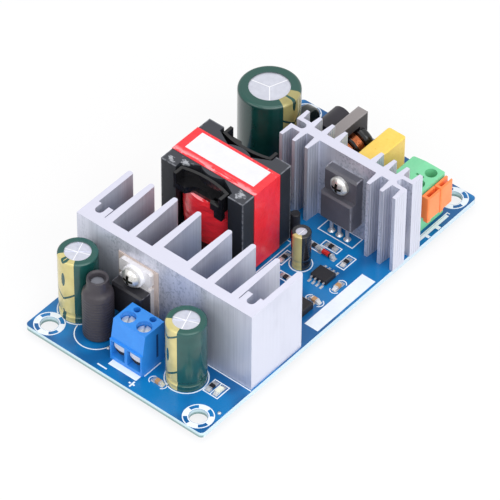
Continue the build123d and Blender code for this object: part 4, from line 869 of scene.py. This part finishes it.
# %% Line choke turns and flange
wound = Layer()
wound_radius, wound_bore, turn_rise, turns = 4.75, 2.7, 0.32, 6
for start, end in ((-3.2, -0.4), (0.4, 3.2)):
    row = arches(start, end, turns, wound_radius, turn_rise)
    spun(wound, [(end, wound_bore), (start, wound_bore), *row][::-1], line_centre, 0)
wound.object("line_choke_turns", copper, "enamelled_copper", smooth=True,
             replaces=["line_choke_windings"])

bobbin_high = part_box("line_choke_bobbin")[1]
flange_radius = bobbin_high[2] / MM - line_centre[2]
sunk, collar_width, collar_bore, inner_round, outer_round = 0.05, 2.25, 2.0, 0.2, 0.6
inner_end = bobbin_high[0] / MM - line_centre[0] - sunk
outer_end = inner_end + collar_width
collar = Layer()
collar_profile = [(outer_end, collar_bore), (inner_end, collar_bore),
                  (inner_end, flange_radius - inner_round), (inner_end + inner_round, flange_radius),
                  (outer_end - outer_round, flange_radius), (outer_end, flange_radius - outer_round)]
spun(collar, collar_profile[::-1], line_centre, 0)
collar.object("line_choke_collar", phenolic, "black_phenolic", smooth=True)

# %% [markdown]
# ## Ribbed sleeve
#
# The output choke is a ferrite rod with a winding under a shrunk sleeve. The film follows the
# wire, so the sleeve is faintly ribbed, narrows above the winding and curls in at its mouth. The
# arches of the line choke serve again, with less rise.

# %% Ribbed sleeve
choke_x, choke_y, _ = middle_of("choke_sleeve")
ribbed = Layer()
foot, shoulder, neck, top = (BOARD_TOP + z for z in (0.3, 13.8, 15.4, 19.0))
rib_count, sleeve_radius, rib_rise = 15, 3.88, 0.12
outer = arches(foot, shoulder, rib_count, sleeve_radius, rib_rise, 4)
bend = [(shoulder + 0.5, 3.82), (shoulder + 1.0, 3.5), (neck, 3.05), (neck + 0.8, 2.8), (top - 0.5, 2.74)]
lip = [(top - 0.12, 2.7), (top, 2.5), (top - 0.05, 2.25), (top - 0.45, 1.95), (top - 1.4, 1.65),
       (top - 1.6, 1.75), (top - 1.72, 2.25)]
inner = [(neck, 2.5), (shoulder - 0.4, 3.6), (foot, 3.6)]
spun(ribbed, [*outer, *bend, *lip, *inner][::-1], (choke_x, choke_y, 0), 2)
ribbed.object("choke_sleeve_ribbed", shrunk, "black_sleeve", smooth=True, replaces=["choke_sleeve"])

# %% [markdown]
# ## Large can
#
# The largest can closes with a flat top and a rounded rim. It is spun like the sleeve, without a
# cut for the vent, because only the three burrs of its score catch the light, and the finish
# paints their highlights.

# %% Large can
can_low, can_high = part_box("bulk_capacitor_can")
can_x, can_y, _ = middle_of("bulk_capacitor_can")
film_clearance, pinhole = 0.3, 0.02
can_radius = (can_high[0] - can_low[0]) / 2 / MM - film_clearance
can_foot, can_top = can_low[2] / MM, can_high[2] / MM
drawn = Layer()
can_profile = [(can_foot, pinhole), (can_foot, can_radius), (can_top - 1.6, can_radius),
               (can_top - 0.5, can_radius - 0.6), (can_top, can_radius - 1.6), (can_top, pinhole)]
spun(drawn, can_profile[::-1], (can_x, can_y, 0), 2)
drawn.object("bulk_can_scored", bulk_skin, "bare_can", replaces=["bulk_capacitor_can"])

# %% [markdown]
# ## Pads and solder slopes
#
# Each small part sits on two tinned pads, and solder climbs its ends in a short slope. A
# sculpted fillet would cost far more than it shows at this size. A wedge for each end gives the
# slope, and a thin plate under it is the pad.

# %% Pads and slopes
pads = Layer()
pad_low, pad_high = BOARD_TOP, BOARD_TOP + 0.04
toe_share, toe_height = 0.8, 0.06


def turned(x, y, turn, u, v):
    """The place that lies (u, v) from (x, y) on a part that is turned by that many degrees."""
    cosine, sine = math.cos(math.radians(turn)), math.sin(math.radians(turn))
    return x + u * cosine - v * sine, y + u * sine + v * cosine


def wedge(x, y, turn, inner, outer, half, height):
    """A slope of solder from an end face at inner down to the pad's edge at outer."""
    toe = half * toe_share
    sole = [(inner, -half, 0), (outer, -toe, 0), (outer, toe, 0), (inner, half, 0)]
    slope = [(inner, -half, height), (outer, -toe, toe_height), (outer, toe, toe_height),
             (inner, half, height)]
    points = [(*turned(x, y, turn, u, v), pad_high + w) for u, v, w in sole + slope]
    pads.add(points, [(3, 2, 1, 0), (4, 5, 6, 7), (0, 1, 5, 4), (1, 2, 6, 5), (2, 3, 7, 6), (3, 0, 4, 7)])


def plate(x, y, turn, inner, outer, half):
    """A tinned pad under one end of a part."""
    corners = [(inner, -half), (outer, -half), (outer, half), (inner, half)]
    pads.prism([turned(x, y, turn, u, v) for u, v in corners], pad_low, pad_high)


# Place, turn, reach of the ends from the middle, height of the solder
small_parts = [(15.9, -11.8, 90, 1.0, 0.5), (13.5, -8.3, 90, 1.0, 0.5), (14.05, -18.0, 0, 1.0, 0.5),
               (5.4, -5.2, 0, 1.0, 0.5), (0.3, -10.0, 90, 1.0, 0.5), (-39.9, -20.15, 0, 1.0, 0.5),
               (6.15, -21.9, 0, 1.0, 0.75), (-1.3, -20.5, 90, 1.0, 0.75), (-47.3, -9.3, 90, 1.0, 0.75),
               (-39.9, -22.45, 0, 1.0, 0.5), (12.9, -12.8, 90, 1.8, 0.9)]
pad_under, pad_beyond, pad_half, slope_length, slope_half = 0.35, 0.95, 0.72, 0.8, 0.6
for x, y, turn, reach, height in small_parts:
    for side in (turn, turn + 180):
        plate(x, y, side, reach - pad_under, reach + pad_beyond, pad_half)
        wedge(x, y, side, reach, reach + slope_length, slope_half, height)
# Place, reach of the legs, pitch and number of legs on each side
chip_rows = [(6.4, -16.9, 3.1, 1.27, 4), (-5.8, -19.7, 3.5, 2.54, 2)]
leg_pad_under, leg_pad_beyond, leg_pad_half = 0.7, 0.55, 0.32
for x, y, half_span, pitch, count in chip_rows:
    for side in (0, 180):
        for step in range(count):
            row_y = y + (step - (count - 1) / 2) * pitch
            plate(x, row_y, side, half_span - leg_pad_under, half_span + leg_pad_beyond, leg_pad_half)
print(len(small_parts), "small parts and", len(chip_rows), "chips on pads")

# %% [markdown]
# ## Solder cones and beads
#
# The three legs of each power device stand in small cones of solder, and two free pads carry a
# low bead. They are spun like the other round pieces and join the layer of the pads, since all
# of it is one metal.

# %% Cones and beads
leg_pitch, round_steps = 2.54, 20
cone = [(0, pinhole), (0.0, 1.0), (0.14, 0.84), (0.4, 0.6), (0.9, 0.46), (0.95, pinhole)]
for x, y in ((-37.6, 7.5), (20.675, -10.45)):
    for step in (-1, 0, 1):
        spun(pads, cone[::-1], (x, y + step * leg_pitch, pad_low), 2, round_steps)
bead = [(0, pinhole), (0, 0.5), (0.2, 0.44), (0.34, 0.2), (0.36, pinhole)]
for x, y in ((-46.4, 7.5), (-45.5, -27.2)):
    spun(pads, bead[::-1], (x, y, pad_low), 2, round_steps)
pads.object("surface_solder", solder, "solder")

# %% [markdown]
# ## Metal tongues in the output terminal
#
# Behind each wire entry hangs a thin tongue of bright metal, which keeps the screw off the
# wire. It is cut from sheet, so a flat outline with a round lower end is raised by its thickness.
# A larger, near-black plate behind it is a painted shadow for the dark inside of the clamp's
# cage. The dark line on the housing's side is the groove by which such blocks lock together, and
# a thin dark blue sheet there paints the shade in the groove.

# %% Wire tongues and side groove
def hung_sheets(front, back, half, start, drop):
    """A sheet in each wire entry, whose round lower end starts at that height and hangs by drop."""
    sheets = Layer()
    sheet_top, half_round = BOARD_TOP + 6.25, 12
    angles = [math.pi * k / half_round for k in range(half_round, 2 * half_round + 1)]
    for pole_y in (-2.64, 2.44):
        rim = [(pole_y + half * math.cos(a), BOARD_TOP + start + drop * math.sin(a)) for a in angles]
        ends = [*rim, (pole_y + half, sheet_top), (pole_y - half, sheet_top)]
        count = len(ends)
        points = [(x, y, z) for x in (front, back) for y, z in ends]
        sides = [(i, count + i, count + (i + 1) % count, (i + 1) % count) for i in range(count)]
        sheets.add(points, [tuple(range(count))[::-1], tuple(range(count, 2 * count)), *sides])
    return sheets


tongues = hung_sheets(front=-47.75, back=-47.5, half=1.85, start=4.3, drop=0.9)
tongues.object("wire_tongues", bright_tab, "tinned_steel")
# Near-black sheets behind the tongues are painted shadow, for the dark inside of the clamp.
painted_shadow_steel = bright_metal("painted_shadow_sheet", 0x121216, 0x26262C, 0.4, 0.02, 0.2)
painted_shadow_plates = hung_sheets(front=-47.45, back=-47.3, half=1.9, start=3.6, drop=1.6)
painted_shadow_plates.object("shadow_sheets_behind_tongues", painted_shadow_steel, "tinned_steel")

# A thin dark blue sheet on the housing's side paints the shade inside its locking groove.
groove = Layer()
groove_from, groove_to = BOARD_TOP + 2.6, BOARD_TOP + 10.3
groove.box(-43.1, -5.2, -42.4, -5.175, groove_from, groove_to)
shadow_blue = moulded("groove_painted_shade", 0x0C3468, 0x123F7C, 0.5)
groove.object("terminal_groove_shade", shadow_blue, "blue_terminal")

# %% [markdown]
# ## Mains levers
#
# Each orange lever is a deep tray that is open at the top and at one end, so that a screwdriver
# tip can catch in it. A box with a boolean cut would give the same form, but a U-shaped outline
# needs no cutting. It stands on a solid foot with a toe under one end, and a round hub at the
# back turns in the green housing.

# %% Levers with open trays
lever_depth, lever_foot, lever_floor = 2.3, BOARD_TOP + 5.6, BOARD_TOP + 10.2
front_wall, back_wall, end_wall, front_round = 0.62, 0.58, 0.8, 0.5
toe_width, toe_from_face, toe_from_rear = 1.3, 0.2, 0.8
hub_radius, hub_half, hub_height, neck_half, neck_gap = 1.1, 1.5, BOARD_TOP + 6.4, 0.5, 0.9
hub = [(hub_half, pinhole), (-hub_half, pinhole), (-hub_half, hub_radius), (hub_half, hub_radius)]
corner_round = [(front_round * (1 - math.cos(a)), front_round * (1 - math.sin(a)))
                for a in (math.radians(degrees) for degrees in range(0, 91, 30))]
for node, body in (("ac_lever_1", "mains_lever_left"), ("ac_lever_2", "mains_lever_right")):
    low, high = ([value / MM for value in corner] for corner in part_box(node))
    left, right, face, rear = low[0], high[0], low[1], low[1] + lever_depth
    front = [(left + x, face + y) for x, y in corner_round]
    front += [(right - x, face + y) for x, y in corner_round[::-1]]
    cheek, bar = face + front_wall, rear - back_wall
    hollow = [(right, cheek), (left + end_wall, cheek), (left + end_wall, bar), (right, bar)]
    lever = Layer()
    lever.prism([*front, *hollow, (right, rear), (left, rear)], lever_floor, high[2])
    lever.prism([*front, (right, rear), (left, rear)], lever_foot, lever_floor)
    lever.box(left, face + toe_from_face, left + toe_width, rear - toe_from_rear, low[2], lever_foot)
    middle, pivot_y = (left + right) / 2, high[1] - hub_radius
    spun(lever, hub[::-1], (middle, pivot_y, hub_height), 0, 32)
    lever.box(middle - hub_half, rear, middle + hub_half, pivot_y - neck_gap,
              hub_height - neck_half, hub_height + neck_half)
    lever.object(node.replace("ac_lever", "mains_lever_tray"), orange, "orange_lever", body,
                 replaces=[node])
